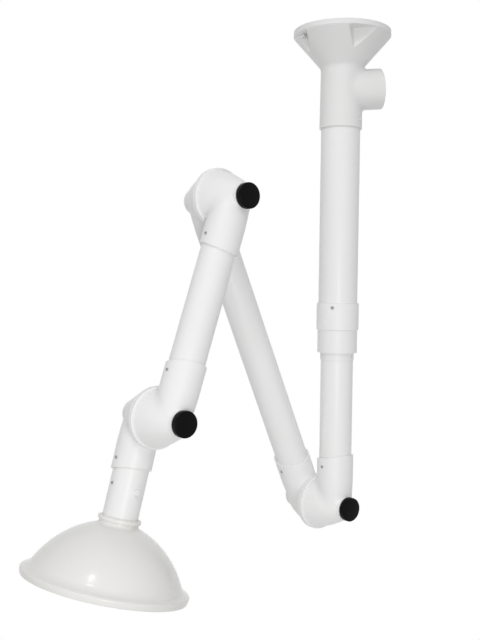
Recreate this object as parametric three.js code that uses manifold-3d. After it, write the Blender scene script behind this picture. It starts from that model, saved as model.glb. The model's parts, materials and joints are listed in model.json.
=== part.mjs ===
// A ceiling-hung fume extraction arm: a bracket with a duct spigot, a telescopic column that
// swivels, two arms on friction elbows with clamp knobs, and a dome hood with a damper.
// Millimetres, +Z up. The origin is the centre of the bracket's ceiling face, and every elbow
// turns about an axis along Y, with its clamp knob towards -Y.
import * as THREE from 'three';
import { mergeVertices } from 'three/addons/utils/BufferGeometryUtils.js';
import Module from 'manifold-3d';

const wasm = await Module();
wasm.setup();

// Duct tubes
const ARM_DIAMETER = 75;
const ARM_WALL = 2.5;
const TELESCOPE_CLEARANCE = 4.5;
const COLUMN_WALL = 3;

// Layout of the arm in its resting pose
const LOWER_AXIS_DROP = 1098;
const LOWER_ARM_LENGTH = 765;
const UPPER_ARM_LENGTH = 482;
const LOWER_ARM_LEAN = 24.1;
const UPPER_ARM_LEAN = 18.5;
const HOOD_TUBE_LEAN = 15;
const SOCKET_TO_JOINT_PLANE = 8.25;

// Clearances
const FIT_GAP = 0.3;
const TURNING_GAP = 0.7;
const CUT_MARGIN = 1;

// Ceiling bracket
const CEILING_FLANGE_DIAMETER = 223;
const CEILING_FLANGE_EDGE = 12;
const CEILING_FLANGE_BEVEL = 5;
const CEILING_FLANGE_BEVEL_DROP = 8;
const FUNNEL_BOTTOM_DROP = 84.5;
const BRACKET_WALL = 4;
const BRACKET_NECK_WALL = 5.5;
const BRACKET_COLLAR_WALL = 3.7;
const BRACKET_COLLAR_ROUNDING = 2.5;
const SPIGOT_TO_COLUMN = 1.5;
const COLUMN_INSERT = 40;
const TOP_PLATE = 10;
const SPIGOT_DIAMETER = 92;
const SPIGOT_WALL = 3;
const SPIGOT_BELOW_FUNNEL = 3;
const SPIGOT_REACH = 92;
const SPIGOT_AZIMUTH = -31;
const SPIGOT_RISE = 5;

// Bolt pockets in the bracket's funnel
const POCKET_COUNT = 3;
const POCKET_AZIMUTH = -115;
const POCKET_SPACING = -90;
const POCKET_DEPTH = 36.5;
const POCKET_STEEP_ANGLE = 36;
const POCKET_OPEN_ANGLE = 59;
const BOLTED_POCKETS = [1, 2];
const BOLT_EDGE_DISTANCE = 21.5;
const BOLT_DIAMETER = 8;
const BOLT_HEAD_ACROSS = 15;
const BOLT_HEAD_HEIGHT = 6;
const HOLLOW_RIM = 11.5;

// Telescope at the foot of the column
const COLLAR_TOP_DROP = 622.4;
const COLLAR_UPPER_LENGTH = 63;
const COLLAR_LOWER_LENGTH = 52;
const COLLAR_WALL = 3.5;
const COLLAR_LOWER_WALL = 3.8;
const COLLAR_LIP = 7.5;
const COLLAR_BEVEL = 1.5;
const BUSH_WALL = 3.7;
const BUSH_NECK_WALL = 1.2;
const BUSH_NECK_LENGTH = 17;
const DROP_TUBE_LENGTH = 640;

// Half elbows
const ELBOW_WALL = 4.5;
const SOCKET_WALL = 4.2;
const SOCKET_REACH = 116;
const SOCKET_DEPTH = 56;
const RIM_SLANT = 11;
const ELBOW_FLANGE_WIDTH = 26;
const ELBOW_FLANGE_LIP = 6.5;
const ELBOW_FLANGE_STEP = 4.5;
const CONE_BULGE = 3;
const BOSS_DIAMETER = 56;
const BOSS_STEP = 7;
const BOSS_WEB = 5;
const BOSS_PROUD = 1.5;
const BOSS_CORE = 14;

// Clamp hardware of an elbow
const RING_THICKNESS = 2;
const RING_WIDTH = 6;
const RING_INSET = 3;
const ROD_DIAMETER = 8;
const NUT_WALL = 2.5;
const NUT_THICKNESS = 6.5;
const NUT_SEAT_CLEARANCE = 1.2;
const ROD_END = 1;
const WASHER_WIDTH = 7.3;
const WASHER_THICKNESS = 1.2;
const KNOB_DIAMETER = 54.5;
const KNOB_FACE = 5;
const KNOB_ROUNDING = 3;
const CAP_DIAMETER = 48;
const CAP_THICKNESS = 3.5;
const CAP_ROUNDING = 2;
const CAP_PLUG_WALL = 1.2;
const CAP_PLUG_LENGTH = 5;

// Small screws
const SCREW_DIAMETER = 3;
const SCREW_HEAD_DIAMETER = 6.5;
const SCREW_HEAD_HEIGHT = 1.8;
const SCREW_TIP = 1;
const SOCKET_SCREW_BELOW_RIM = 20;
const COLUMN_SCREW_ABOVE_END = 18.5;
const COLUMN_SCREW_AZIMUTH = -74.5;
const COLLAR_SCREW_BELOW_TOP = 10.5;
const COLLAR_SCREW_AZIMUTH = -149.5;
const COLLAR_SCREW_SEAT_DIAMETER = 8.8;
const COLLAR_SCREW_SEAT_DEPTH = 1.7;
const HOOD_TUBE_SCREW_ABOVE_DAMPER = 9.5;

// Hood, measured along the hood tube from the hood elbow's axis
const HOOD_DOME_REACH = 232;
const HOOD_NECK_LENGTH = 18;
const HOOD_TUBE_INSERT = 26;
const HOOD_DOME_HEIGHT = 104;
const HOOD_DOME_BULGE = 16;
const HOOD_BRIM_WIDTH = 17;
const HOOD_RIM_DIAMETER = 353;
const HOOD_BRIM_DROP = 8;
const HOOD_RIM_BEVEL = 2;
const HOOD_LIP_HEIGHT = 13;
const HOOD_LIP_TAPER = 2.5;
const HOOD_WALL = 3;
const HOOD_NECK_WALL = 4;
const HOOD_NECK_FLARE = 3;
const SLIT_WIDTH = 1.6;
const SLIT_SPACING = 8;
const SLIT_AZIMUTH = 18;
const SNAP_RING_WALL = 3.2;
const SNAP_RING_HEIGHT = 8;
const SNAP_RING_INSET = 1.5;

// Damper in the hood tube
const DAMPER_BEYOND_RIM = 41.5;
const DAMPER_CLEARANCE = 1;
const DAMPER_DISC_THICKNESS = 3;
const DAMPER_HUB_WALL = 2.2;
const DAMPER_SHAFT_DIAMETER = 6;
const DAMPER_BUTTON_DIAMETER = 14;
const DAMPER_BUTTON_FACE = 2;
const DAMPER_BUTTON_BORE = 3;
const DAMPER_RETAINER_WIDTH = 2.7;
const DAMPER_RETAINER_THICKNESS = 2.5;

// Smoothness of round forms
const ROUND_STEPS = 24;
const HOOD_STEPS = 32;
const HARDWARE_STEPS = 18;
const SMALL_STEPS = 12;
const SCREW_STEPS = 8;
const CONE_ARC_STEPS = 3;
const DOME_ARC_STEPS = 5;
const HEXAGON_SIDES = 6;

// Sizes that follow from the ones above
const armRadius = ARM_DIAMETER / 2;
const armBore = armRadius - ARM_WALL;
const columnBore = armRadius + TELESCOPE_CLEARANCE;
const columnRadius = columnBore + COLUMN_WALL;
const socketBore = armRadius + FIT_GAP;
const socketRadius = socketBore + SOCKET_WALL;
const socketStop = SOCKET_REACH - SOCKET_DEPTH;
const tubeStart = socketStop + FIT_GAP;
const socketScrewReach = SOCKET_REACH - SOCKET_SCREW_BELOW_RIM;
const ductOffset = socketRadius + SOCKET_TO_JOINT_PLANE;
const elbowBodyRadius = armBore + ELBOW_WALL;
const flangeRadius = elbowBodyRadius + ELBOW_FLANGE_WIDTH;
const flangeFace = TURNING_GAP / 2;
const ringRadius = flangeRadius - RING_INSET;
const facetShare = Math.cos(Math.PI / ROUND_STEPS);
const ringSeatRadius = ringRadius / facetShare + FIT_GAP;
const ringSeatDepth = RING_THICKNESS / 2 + FIT_GAP;
const coneBaseRadius = flangeRadius - ELBOW_FLANGE_STEP;
const bossRadius = BOSS_DIAMETER / 2;
const bossFace = ductOffset + elbowBodyRadius + BOSS_PROUD;
const coneEnd = bossFace - BOSS_STEP;
const rodRadius = ROD_DIAMETER / 2;
const rodHoleRadius = rodRadius + TURNING_GAP;
const hexagonRadius = (across) => across / Math.sqrt(3);
const nutRadius = hexagonRadius(ROD_DIAMETER + 2 * NUT_WALL);
const nutSeatRadius = nutRadius + CAP_PLUG_WALL + TURNING_GAP;
const knobBack = bossFace + WASHER_THICKNESS + 2 * FIT_GAP;
const knobNutStart = knobBack + ROD_END;
const knobRodEnd = knobNutStart + NUT_THICKNESS + ROD_END;
const knobFront = knobRodEnd + FIT_GAP + KNOB_FACE;
const nutSeatDepth = FIT_GAP + NUT_THICKNESS + ROD_END + NUT_SEAT_CLEARANCE;
const rearNutStart = bossFace - nutSeatDepth + FIT_GAP;
const rearRodEnd = rearNutStart + NUT_THICKNESS + ROD_END;
const collarBore = columnRadius + FIT_GAP;
const collarRadius = collarBore + COLLAR_WALL;
const collarScrewSeat = collarRadius - COLLAR_SCREW_SEAT_DEPTH;
const collarShoulderDrop = COLLAR_TOP_DROP + COLLAR_UPPER_LENGTH;
const collarBottomDrop = collarShoulderDrop + COLLAR_LOWER_LENGTH;
const bushBore = armRadius + FIT_GAP;
const bushRadius = bushBore + BUSH_WALL;
const bushNeckRadius = bushBore + BUSH_NECK_WALL;
const spigotRadius = SPIGOT_DIAMETER / 2;
const spigotDrop = FUNNEL_BOTTOM_DROP + SPIGOT_BELOW_FUNNEL + spigotRadius;
const columnTopDrop = spigotDrop + spigotRadius + SPIGOT_TO_COLUMN;
const bracketEndDrop = columnTopDrop + COLUMN_INSERT;
const hoodNeckRadius = socketBore + HOOD_NECK_WALL;
const hoodNeckReach = HOOD_DOME_REACH - HOOD_NECK_LENGTH;
const hoodTubeEnd = hoodNeckReach + HOOD_TUBE_INSERT;
const damperReach = SOCKET_REACH + DAMPER_BEYOND_RIM;
const hoodTubeScrewReach = damperReach - HOOD_TUBE_SCREW_ABOVE_DAMPER;

const radians = THREE.MathUtils.degToRad;

// Shapes

// Keeps a closed geometry's faces pointing out.
function facingOut(geometry) {
  const place = geometry.attributes.position;
  const index = geometry.index.array;
  const [a, b, c] = [new THREE.Vector3(), new THREE.Vector3(), new THREE.Vector3()];
  let volume = 0;
  for (let i = 0; i < index.length; i += 3) {
    a.fromBufferAttribute(place, index[i]);
    b.fromBufferAttribute(place, index[i + 1]);
    c.fromBufferAttribute(place, index[i + 2]);
    volume += a.dot(b.cross(c));
  }
  if (volume < 0) {
    for (let i = 0; i < index.length; i += 3) {
      [index[i], index[i + 1]] = [index[i + 1], index[i]];
    }
    geometry.computeVertexNormals();
  }
  return geometry;
}

// A profile of [radius, height] points turned about Y.
function turned(profile, steps = ROUND_STEPS) {
  const points = profile.map(([radius, height]) => new THREE.Vector2(radius, height));
  return facingOut(new THREE.LatheGeometry(points, steps));
}

// The same, turned about Z.
function upright(profile, steps = ROUND_STEPS) {
  return turned(profile, steps).rotateX(Math.PI / 2);
}

// The closed profile of a plain sleeve.
function sleeveProfile(outer, inner, from, to) {
  return [[outer, from], [outer, to], [inner, to], [inner, from], [outer, from]];
}

// The closed profile of a plain round bar.
function barProfile(radius, from, to) {
  return [[0, from], [radius, from], [radius, to], [0, to]];
}

// Points along a shallow arc from one profile point to another, standing out by bulge.
function arc([r0, h0], [r1, h1], bulge, steps) {
  const chord = Math.hypot(r1 - r0, h1 - h0);
  const [nr, nh] = [(h0 - h1) / chord, (r1 - r0) / chord];
  const side = nr >= 0 ? 1 : -1;
  const radius = (chord * chord / 4 + bulge * bulge) / (2 * bulge);
  const half = Math.asin(chord / (2 * radius));
  const points = [];
  for (let i = 0; i <= steps; i += 1) {
    const angle = half * (2 * i / steps - 1);
    const along = 0.5 + radius * Math.sin(angle) / chord;
    const rise = side * (radius * Math.cos(angle) - (radius - bulge));
    points.push([r0 + (r1 - r0) * along + nr * rise, h0 + (h1 - h0) * along + nh * rise]);
  }
  return points;
}

// A hexagonal nut about Y with a round hole.
function nut(from, holeRadius) {
  const to = from + NUT_THICKNESS;
  const hexagon = new THREE.CylinderGeometry(nutRadius, nutRadius, NUT_THICKNESS, HEXAGON_SIDES);
  hexagon.translate(0, (from + to) / 2, 0);
  return cut(hexagon, turned(barProfile(holeRadius, from - CUT_MARGIN, to + CUT_MARGIN), SMALL_STEPS));
}

// Joining and cutting

// The geometry with one vertex at each shared corner.
function welded(geometry) {
  geometry.deleteAttribute('normal');
  geometry.deleteAttribute('uv');
  return mergeVertices(geometry);
}

function toSolid(geometry) {
  const merged = welded(geometry.clone());
  const index = merged.index.array;
  const triangles = [];
  for (let i = 0; i < index.length; i += 3) {
    const [a, b, c] = index.subarray(i, i + 3);
    if (a !== b && b !== c && c !== a) {
      triangles.push(a, b, c);
    }
  }
  return new wasm.Manifold(new wasm.Mesh({
    numProp: 3,
    vertProperties: Float32Array.from(merged.attributes.position.array),
    triVerts: Uint32Array.from(triangles),
  }));
}

function toGeometry(solid) {
  const mesh = solid.getMesh();
  const geometry = new THREE.BufferGeometry();
  const places = Float32Array.from(mesh.vertProperties);
  geometry.setAttribute('position', new THREE.BufferAttribute(places, mesh.numProp));
  geometry.setIndex(new THREE.BufferAttribute(Uint32Array.from(mesh.triVerts), 1));
  geometry.computeVertexNormals();
  return geometry;
}

function join(first, ...others) {
  return toGeometry(others.reduce((solid, other) => solid.add(toSolid(other)), toSolid(first)));
}

function cut(base, ...tools) {
  return toGeometry(tools.reduce((solid, tool) => solid.subtract(toSolid(tool)), toSolid(base)));
}

// Finishes

const finish = (color, roughness, metalness = 0) => ({ color, roughness, metalness });
const WHITE_PLASTIC = finish(0xf1f1f0, 0.3);
const HOOD_PLASTIC = finish(0xebeae7, 0.35);
const BLACK_PLASTIC = finish(0x151516, 0.4);
const NYLON = finish(0xe6e2d6, 0.5);
const RUBBER = finish(0x2b2b2b, 0.8);
const STEEL = finish(0xb4b7ba, 0.3, 1);

// Adds one named piece to a group.
function piece(group, name, geometry, look) {
  const mesh = new THREE.Mesh(geometry, new THREE.MeshStandardMaterial(look));
  mesh.name = name;
  group.add(mesh);
  return mesh;
}

// Small screws

// A screw whose head rests on a wall of the given radius, pointing at the axis, along -X.
function wallScrew(wallRadius, tipRadius) {
  const head = wallRadius + FIT_GAP;
  const headRadius = SCREW_HEAD_DIAMETER / 2;
  const shankRadius = SCREW_DIAMETER / 2;
  const profile = [
    [0, tipRadius], [shankRadius, tipRadius], [shankRadius, head], [headRadius, head],
    [headRadius, head + SCREW_HEAD_HEIGHT / 2], [headRadius / 2, head + SCREW_HEAD_HEIGHT],
    [0, head + SCREW_HEAD_HEIGHT],
  ];
  return turned(profile, SCREW_STEPS).rotateZ(-Math.PI / 2);
}

// The hole that such a screw goes through, from inside the duct to outside.
function wallScrewHole(wallRadius, tipRadius) {
  const radius = SCREW_DIAMETER / 2 + FIT_GAP;
  const hole = barProfile(radius, tipRadius - CUT_MARGIN, wallRadius + CUT_MARGIN);
  return turned(hole, SCREW_STEPS).rotateZ(-Math.PI / 2);
}

const armScrewTip = armBore - SCREW_TIP;
const columnScrewTip = columnBore - SCREW_TIP;

// Ceiling bracket

const flangeEdgeRadius = CEILING_FLANGE_DIAMETER / 2;
const neckRadius = columnBore + BRACKET_NECK_WALL;
const bracketCollarRadius = collarBore + BRACKET_COLLAR_WALL;
const funnelSlope = (FUNNEL_BOTTOM_DROP - CEILING_FLANGE_EDGE) / (flangeEdgeRadius - neckRadius);
const funnelWallDrop = BRACKET_WALL * Math.hypot(1, funnelSlope);
const boltCircleRadius = flangeEdgeRadius - BOLT_EDGE_DISTANCE;
const pocketInnerRadius = flangeEdgeRadius - POCKET_DEPTH;
const pocketSteepSpread = Math.tan(radians(POCKET_STEEP_ANGLE));
const pocketOpenSpread = Math.tan(radians(POCKET_OPEN_ANGLE));
const pocketAzimuths = Array.from({ length: POCKET_COUNT },
  (_, i) => radians(POCKET_AZIMUTH + i * POCKET_SPACING));

// How far below the ceiling the funnel's outer face lies at a radius.
const funnelDropAt = (radius) => CEILING_FLANGE_EDGE + (flangeEdgeRadius - radius) * funnelSlope;

function bracketBody() {
  const collarEnd = bracketEndDrop - BRACKET_COLLAR_ROUNDING;
  return upright([
    [0, 0], [flangeEdgeRadius - CEILING_FLANGE_BEVEL, 0], [flangeEdgeRadius, -CEILING_FLANGE_BEVEL_DROP],
    [flangeEdgeRadius, -CEILING_FLANGE_EDGE], [neckRadius, -FUNNEL_BOTTOM_DROP],
    [bracketCollarRadius, -collarEnd],
    [bracketCollarRadius - BRACKET_COLLAR_ROUNDING, -bracketEndDrop], [0, -bracketEndDrop],
  ]);
}

// A round bar along the spigot, which rises a little, from the column's axis outwards.
function alongSpigot(radius, reach) {
  return turned(barProfile(radius, 0, reach)).rotateX(radians(SPIGOT_RISE))
    .rotateZ(radians(SPIGOT_AZIMUTH) - Math.PI / 2).translate(0, 0, -spigotDrop);
}

// The duct space: up the column, to the closed top plate.
function bracketBore() {
  const stop = -columnTopDrop;
  return upright([
    [0, -TOP_PLATE], [columnBore, -TOP_PLATE], [columnBore, stop], [collarBore, stop],
    [collarBore, -bracketEndDrop - CUT_MARGIN], [0, -bracketEndDrop - CUT_MARGIN],
  ]);
}

// A vertical V-shaped notch, wider to one side, that gives a bolt head its flat seat.
function pocket(azimuth) {
  const depth = flangeEdgeRadius;
  const outline = new THREE.Shape();
  outline.moveTo(pocketInnerRadius, 0);
  outline.lineTo(pocketInnerRadius + depth, depth * pocketOpenSpread);
  outline.lineTo(pocketInnerRadius + depth, -depth * pocketSteepSpread);
  outline.closePath();
  const low = FUNNEL_BOTTOM_DROP;
  const notch = new THREE.ExtrudeGeometry(outline, { depth: low - CEILING_FLANGE_EDGE, bevelEnabled: false });
  return facingOut(welded(notch)).translate(0, 0, -low).rotateZ(azimuth);
}

// The moulding's hollow, open to the ceiling, with a solid block kept above each pocket.
function bracketHollow() {
  const inner = columnBore + BRACKET_WALL;
  const outer = flangeEdgeRadius - HOLLOW_RIM;
  const hollow = upright([
    [inner, CUT_MARGIN], [outer, CUT_MARGIN], [outer, -funnelDropAt(outer) + funnelWallDrop],
    [inner, -funnelDropAt(inner) + funnelWallDrop], [inner, CUT_MARGIN],
  ]);
  const start = pocketInnerRadius - 2 * BRACKET_WALL;
  const length = flangeEdgeRadius - start;
  const width = 2 * (outer - pocketInnerRadius) * pocketOpenSpread + 4 * BRACKET_WALL;
  const block = (azimuth) => new THREE.BoxGeometry(length, width, 2 * FUNNEL_BOTTOM_DROP)
    .translate(start + length / 2, 0, 0).rotateZ(azimuth);
  return cut(hollow, ...pocketAzimuths.map(block));
}

function boltHole(azimuth) {
  const radius = BOLT_DIAMETER / 2 + FIT_GAP;
  return upright(barProfile(radius, -CEILING_FLANGE_EDGE - CUT_MARGIN, CUT_MARGIN), SMALL_STEPS)
    .translate(boltCircleRadius, 0, 0).rotateZ(azimuth);
}

function ceilingBracket() {
  const body = join(bracketBody(), alongSpigot(spigotRadius, SPIGOT_REACH));
  return cut(
    body,
    bracketBore(),
    alongSpigot(spigotRadius - SPIGOT_WALL, SPIGOT_REACH + CUT_MARGIN),
    bracketHollow(),
    ...pocketAzimuths.map(pocket),
    ...pocketAzimuths.map(boltHole),
    columnScrewHole(),
  );
}

// A hexagon bolt in its pocket, ending at the ceiling face.
function ceilingBolt(azimuth) {
  const seat = -CEILING_FLANGE_EDGE - FIT_GAP;
  const middle = seat - BOLT_HEAD_HEIGHT / 2;
  const headRadius = hexagonRadius(BOLT_HEAD_ACROSS);
  const head = new THREE.CylinderGeometry(headRadius, headRadius, BOLT_HEAD_HEIGHT, HEXAGON_SIDES)
    .rotateX(Math.PI / 2).translate(0, 0, middle);
  const shank = upright(barProfile(BOLT_DIAMETER / 2, middle, -FIT_GAP), SMALL_STEPS);
  return join(head, shank).translate(boltCircleRadius, 0, 0).rotateZ(azimuth);
}

// Column and telescope

const placeColumnScrew = (geometry) => geometry.rotateZ(radians(COLUMN_SCREW_AZIMUTH))
  .translate(0, 0, COLUMN_SCREW_ABOVE_END - bracketEndDrop);
const placeCollarScrew = (geometry) => geometry.rotateZ(radians(COLLAR_SCREW_AZIMUTH))
  .translate(0, 0, -COLLAR_TOP_DROP - COLLAR_SCREW_BELOW_TOP);
const columnScrewHole = () => placeColumnScrew(wallScrewHole(bracketCollarRadius, columnScrewTip));
const collarScrewHole = () => placeCollarScrew(wallScrewHole(collarRadius, columnScrewTip));

// The round recess that the collar screw's head sits in.
function collarScrewRecess() {
  const recess = barProfile(COLLAR_SCREW_SEAT_DIAMETER / 2, collarScrewSeat, collarRadius + CUT_MARGIN);
  return placeCollarScrew(turned(recess, SMALL_STEPS).rotateZ(-Math.PI / 2));
}

function columnTube() {
  const top = -columnTopDrop - FIT_GAP;
  const bottom = -collarShoulderDrop + FIT_GAP;
  const tube = upright(sleeveProfile(columnRadius, columnBore, bottom, top));
  return cut(tube, columnScrewHole(), collarScrewHole());
}

function telescopeCollar() {
  const lowerBore = bushRadius + TURNING_GAP;
  const lowerRadius = lowerBore + COLLAR_LOWER_WALL;
  const lipBore = bushNeckRadius + TURNING_GAP;
  const lipTop = -collarBottomDrop + COLLAR_LIP;
  const sleeve = upright([
    [collarRadius - COLLAR_BEVEL, -COLLAR_TOP_DROP], [collarRadius, -COLLAR_TOP_DROP - COLLAR_BEVEL],
    [collarRadius, -collarShoulderDrop + COLLAR_BEVEL], [lowerRadius, -collarShoulderDrop],
    [lowerRadius, -collarBottomDrop], [lipBore, -collarBottomDrop], [lipBore, lipTop],
    [lowerBore, lipTop], [lowerBore, -collarShoulderDrop], [collarBore, -collarShoulderDrop],
    [collarBore, -COLLAR_TOP_DROP], [collarRadius - COLLAR_BEVEL, -COLLAR_TOP_DROP],
  ]);
  return cut(sleeve, collarScrewHole(), collarScrewRecess());
}

function guideBush() {
  const top = -collarShoulderDrop - FIT_GAP;
  const seat = -collarBottomDrop + COLLAR_LIP + FIT_GAP;
  const bottom = -collarBottomDrop - BUSH_NECK_LENGTH;
  return upright([
    [bushRadius, top], [bushRadius, seat], [bushNeckRadius, seat], [bushNeckRadius, bottom],
    [bushBore, bottom], [bushBore, top], [bushRadius, top],
  ]);
}

// Half elbows. Each is made as a front half: its flange faces +Y at y = 0, its socket goes up
// along +Z at y = -ductOffset, and its boss and knob are on the -Y side.

const atDuct = (geometry) => geometry.translate(0, -ductOffset, 0);

// The round body about the elbow's axis, from the flange to the boss.
function elbowCone() {
  const base = [coneBaseRadius, -ELBOW_FLANGE_LIP];
  const outline = arc(base, [bossRadius, -coneEnd], CONE_BULGE, CONE_ARC_STEPS);
  return turned([
    [0, -flangeFace], [flangeRadius, -flangeFace], [flangeRadius, -ELBOW_FLANGE_LIP],
    ...outline, [bossRadius, -bossFace], [0, -bossFace],
  ]);
}

// The chamber inside it, open at the flange, with a rebate for the friction ring.
function elbowChamber() {
  const floor = bossFace - nutSeatDepth - BOSS_WEB;
  const base = coneBaseRadius - ELBOW_WALL;
  const end = bossRadius - ELBOW_WALL;
  const outline = arc([base, -ringSeatDepth], [end, -floor], CONE_BULGE, CONE_ARC_STEPS);
  return turned([
    [0, CUT_MARGIN], [ringSeatRadius, CUT_MARGIN], [ringSeatRadius, -ringSeatDepth], ...outline, [0, -floor],
  ]);
}

// The limb that carries the socket.
function elbowLimb() {
  const end = SOCKET_REACH + socketRadius * Math.tan(radians(RIM_SLANT)) + CUT_MARGIN;
  return atDuct(upright([
    [0, 0], [elbowBodyRadius, 0], [socketRadius, socketStop], [socketRadius, end], [0, end],
  ]));
}

// The bore up the limb, wider where the tube sits.
function elbowBore() {
  const end = SOCKET_REACH + 2 * socketRadius;
  return atDuct(upright([
    [0, BOSS_CORE], [armBore, BOSS_CORE], [armBore, socketStop], [socketBore, socketStop],
    [socketBore, end], [0, end],
  ]));
}

// Everything above the slanted rim, which reaches further on the boss side.
function aboveRim() {
  const size = 4 * socketRadius;
  return atDuct(new THREE.BoxGeometry(size, size, size).translate(0, 0, size / 2)
    .rotateX(-radians(RIM_SLANT)).translate(0, 0, SOCKET_REACH));
}

// Turns a screw from the +X side to the -X side where the side is negative.
const onSide = (geometry, side) => geometry.rotateZ(side > 0 ? 0 : Math.PI);
const placeSocketScrew = (geometry, side) => atDuct(onSide(geometry, side).translate(0, 0, socketScrewReach));
const socketScrew = (side) => placeSocketScrew(wallScrew(socketRadius, armScrewTip), side);
const socketScrewHole = (side) => placeSocketScrew(wallScrewHole(socketRadius, armScrewTip), side);

function halfElbow(side, nutSeat) {
  const outside = join(elbowCone(), elbowLimb());
  const tools = [elbowChamber(), elbowBore(), aboveRim(), socketScrewHole(side)];
  tools.push(turned(barProfile(rodHoleRadius, -bossFace - CUT_MARGIN, 0), SMALL_STEPS));
  if (nutSeat) {
    const seat = -bossFace + nutSeatDepth;
    tools.push(turned(barProfile(nutSeatRadius, -bossFace - CUT_MARGIN, seat), SMALL_STEPS));
  }
  return cut(outside, ...tools);
}

// Clamp hardware about the elbow's axis

function frictionRing() {
  const half = RING_THICKNESS / 2;
  return turned(sleeveProfile(ringRadius, ringRadius - RING_WIDTH, -half, half));
}

const tieRod = () => turned(barProfile(rodRadius, -knobRodEnd, rearRodEnd), SMALL_STEPS);

function thrustWasher() {
  const near = -bossFace - FIT_GAP;
  const outer = rodHoleRadius + WASHER_WIDTH;
  return turned(sleeveProfile(outer, rodHoleRadius, near - WASHER_THICKNESS, near), SMALL_STEPS);
}

function clampKnob() {
  const radius = KNOB_DIAMETER / 2;
  const pocketRadius = nutRadius + TURNING_GAP;
  const pocketEnd = knobRodEnd + FIT_GAP;
  const edge = KNOB_ROUNDING * (1 - Math.SQRT1_2);
  return turned([
    [pocketRadius, -knobBack], [radius, -knobBack], [radius, -knobFront + KNOB_ROUNDING],
    [radius - edge, -knobFront + edge], [radius - KNOB_ROUNDING, -knobFront], [0, -knobFront],
    [0, -pocketEnd], [pocketRadius, -pocketEnd], [pocketRadius, -knobBack],
  ], HARDWARE_STEPS);
}

function rearCap() {
  const near = bossFace + FIT_GAP;
  const far = near + CAP_THICKNESS;
  const inner = nutRadius + TURNING_GAP / 2;
  const outer = inner + CAP_PLUG_WALL;
  const plug = near - CAP_PLUG_LENGTH;
  const radius = CAP_DIAMETER / 2;
  return turned([
    [0, near], [inner, near], [inner, plug], [outer, plug], [outer, near], [radius, near],
    [radius, far - CAP_ROUNDING], [radius - CAP_ROUNDING, far], [0, far],
  ], HARDWARE_STEPS);
}

// Front pieces of an elbow, on the arm whose socket points along the group's +Z or, turned
// about Y, along -Z.
function addFrontHalf(group, elbow, side, turn) {
  const place = (geometry) => geometry.rotateY(turn);
  piece(group, `${elbow}_front`, place(halfElbow(side, false)), WHITE_PLASTIC);
  piece(group, `${elbow}_front_screw`, place(socketScrew(side)), STEEL);
  piece(group, `${elbow}_washer`, place(thrustWasher()), NYLON);
  piece(group, `${elbow}_knob`, place(clampKnob()), BLACK_PLASTIC);
  piece(group, `${elbow}_knob_nut`, place(nut(-knobNutStart - NUT_THICKNESS, rodHoleRadius)), STEEL);
}

// Rear pieces of an elbow, with the boss on the +Y side.
function addRearHalf(group, elbow, side, turn) {
  const place = (geometry) => geometry.rotateZ(Math.PI).rotateY(turn);
  piece(group, `${elbow}_rear`, place(halfElbow(side, true)), WHITE_PLASTIC);
  piece(group, `${elbow}_rear_screw`, place(socketScrew(side)), STEEL);
  piece(group, `${elbow}_ring`, frictionRing(), RUBBER);
  piece(group, `${elbow}_rod`, tieRod(), STEEL);
  piece(group, `${elbow}_rod_nut`, nut(rearNutStart, rodHoleRadius), STEEL);
  piece(group, `${elbow}_cap`, rearCap(), WHITE_PLASTIC);
}

// Arm tubes

// A tube along Z in the front (-1) or rear (+1) plane, with holes for its socket screws.
function armTube(plane, from, to, ...tools) {
  const tube = upright(sleeveProfile(armRadius, armBore, from, to));
  return cut(tube.translate(0, plane * ductOffset, 0), ...tools);
}

const tubeScrewHole = (plane, side, reach) => onSide(wallScrewHole(armRadius, armScrewTip), side)
  .translate(0, plane * ductOffset, reach);

// Hood

function hoodShell() {
  const rim = HOOD_RIM_DIAMETER / 2;
  const dome = rim - HOOD_BRIM_WIDTH;
  const neckFoot = hoodNeckRadius + HOOD_NECK_FLARE;
  const domeEnd = HOOD_DOME_REACH + HOOD_DOME_HEIGHT;
  const brim = domeEnd + HOOD_BRIM_DROP;
  const lipEnd = brim + HOOD_LIP_HEIGHT;
  const lipInside = rim - HOOD_LIP_TAPER - HOOD_WALL;
  const outside = arc([neckFoot, HOOD_DOME_REACH], [dome, domeEnd], HOOD_DOME_BULGE, DOME_ARC_STEPS);
  const insideTop = [hoodNeckRadius, HOOD_DOME_REACH + HOOD_WALL];
  const insideFoot = [dome - HOOD_WALL, domeEnd + HOOD_WALL];
  const inside = arc(insideTop, insideFoot, HOOD_DOME_BULGE, DOME_ARC_STEPS).reverse();
  const stop = hoodTubeEnd + FIT_GAP;
  const stopEnd = stop + HOOD_WALL;
  const shell = upright([
    [hoodNeckRadius, hoodNeckReach], [hoodNeckRadius, HOOD_DOME_REACH - HOOD_NECK_FLARE], ...outside,
    [rim - HOOD_RIM_BEVEL, brim], [rim, brim + HOOD_RIM_BEVEL], [rim - HOOD_LIP_TAPER, lipEnd],
    [lipInside, lipEnd], [lipInside, brim + HOOD_WALL], ...inside, [hoodNeckRadius, stopEnd],
    [armBore, stopEnd], [armBore, stop], [socketBore, stop], [socketBore, hoodNeckReach],
    [hoodNeckRadius, hoodNeckReach],
  ], HOOD_STEPS);
  return cut(shell, ...hoodSlits());
}

// Two opposite pairs of slits that make spring fingers in the neck.
function hoodSlits() {
  const middle = hoodNeckReach - CUT_MARGIN + HOOD_NECK_LENGTH / 2;
  const slits = [];
  for (const face of [-1, 1]) {
    for (const edge of [-1, 1]) {
      slits.push(new THREE.BoxGeometry(SLIT_WIDTH, hoodNeckRadius, HOOD_NECK_LENGTH)
        .translate(edge * SLIT_SPACING / 2, face * hoodNeckRadius, middle)
        .rotateZ(-radians(SLIT_AZIMUTH)));
    }
  }
  return slits;
}

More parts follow.
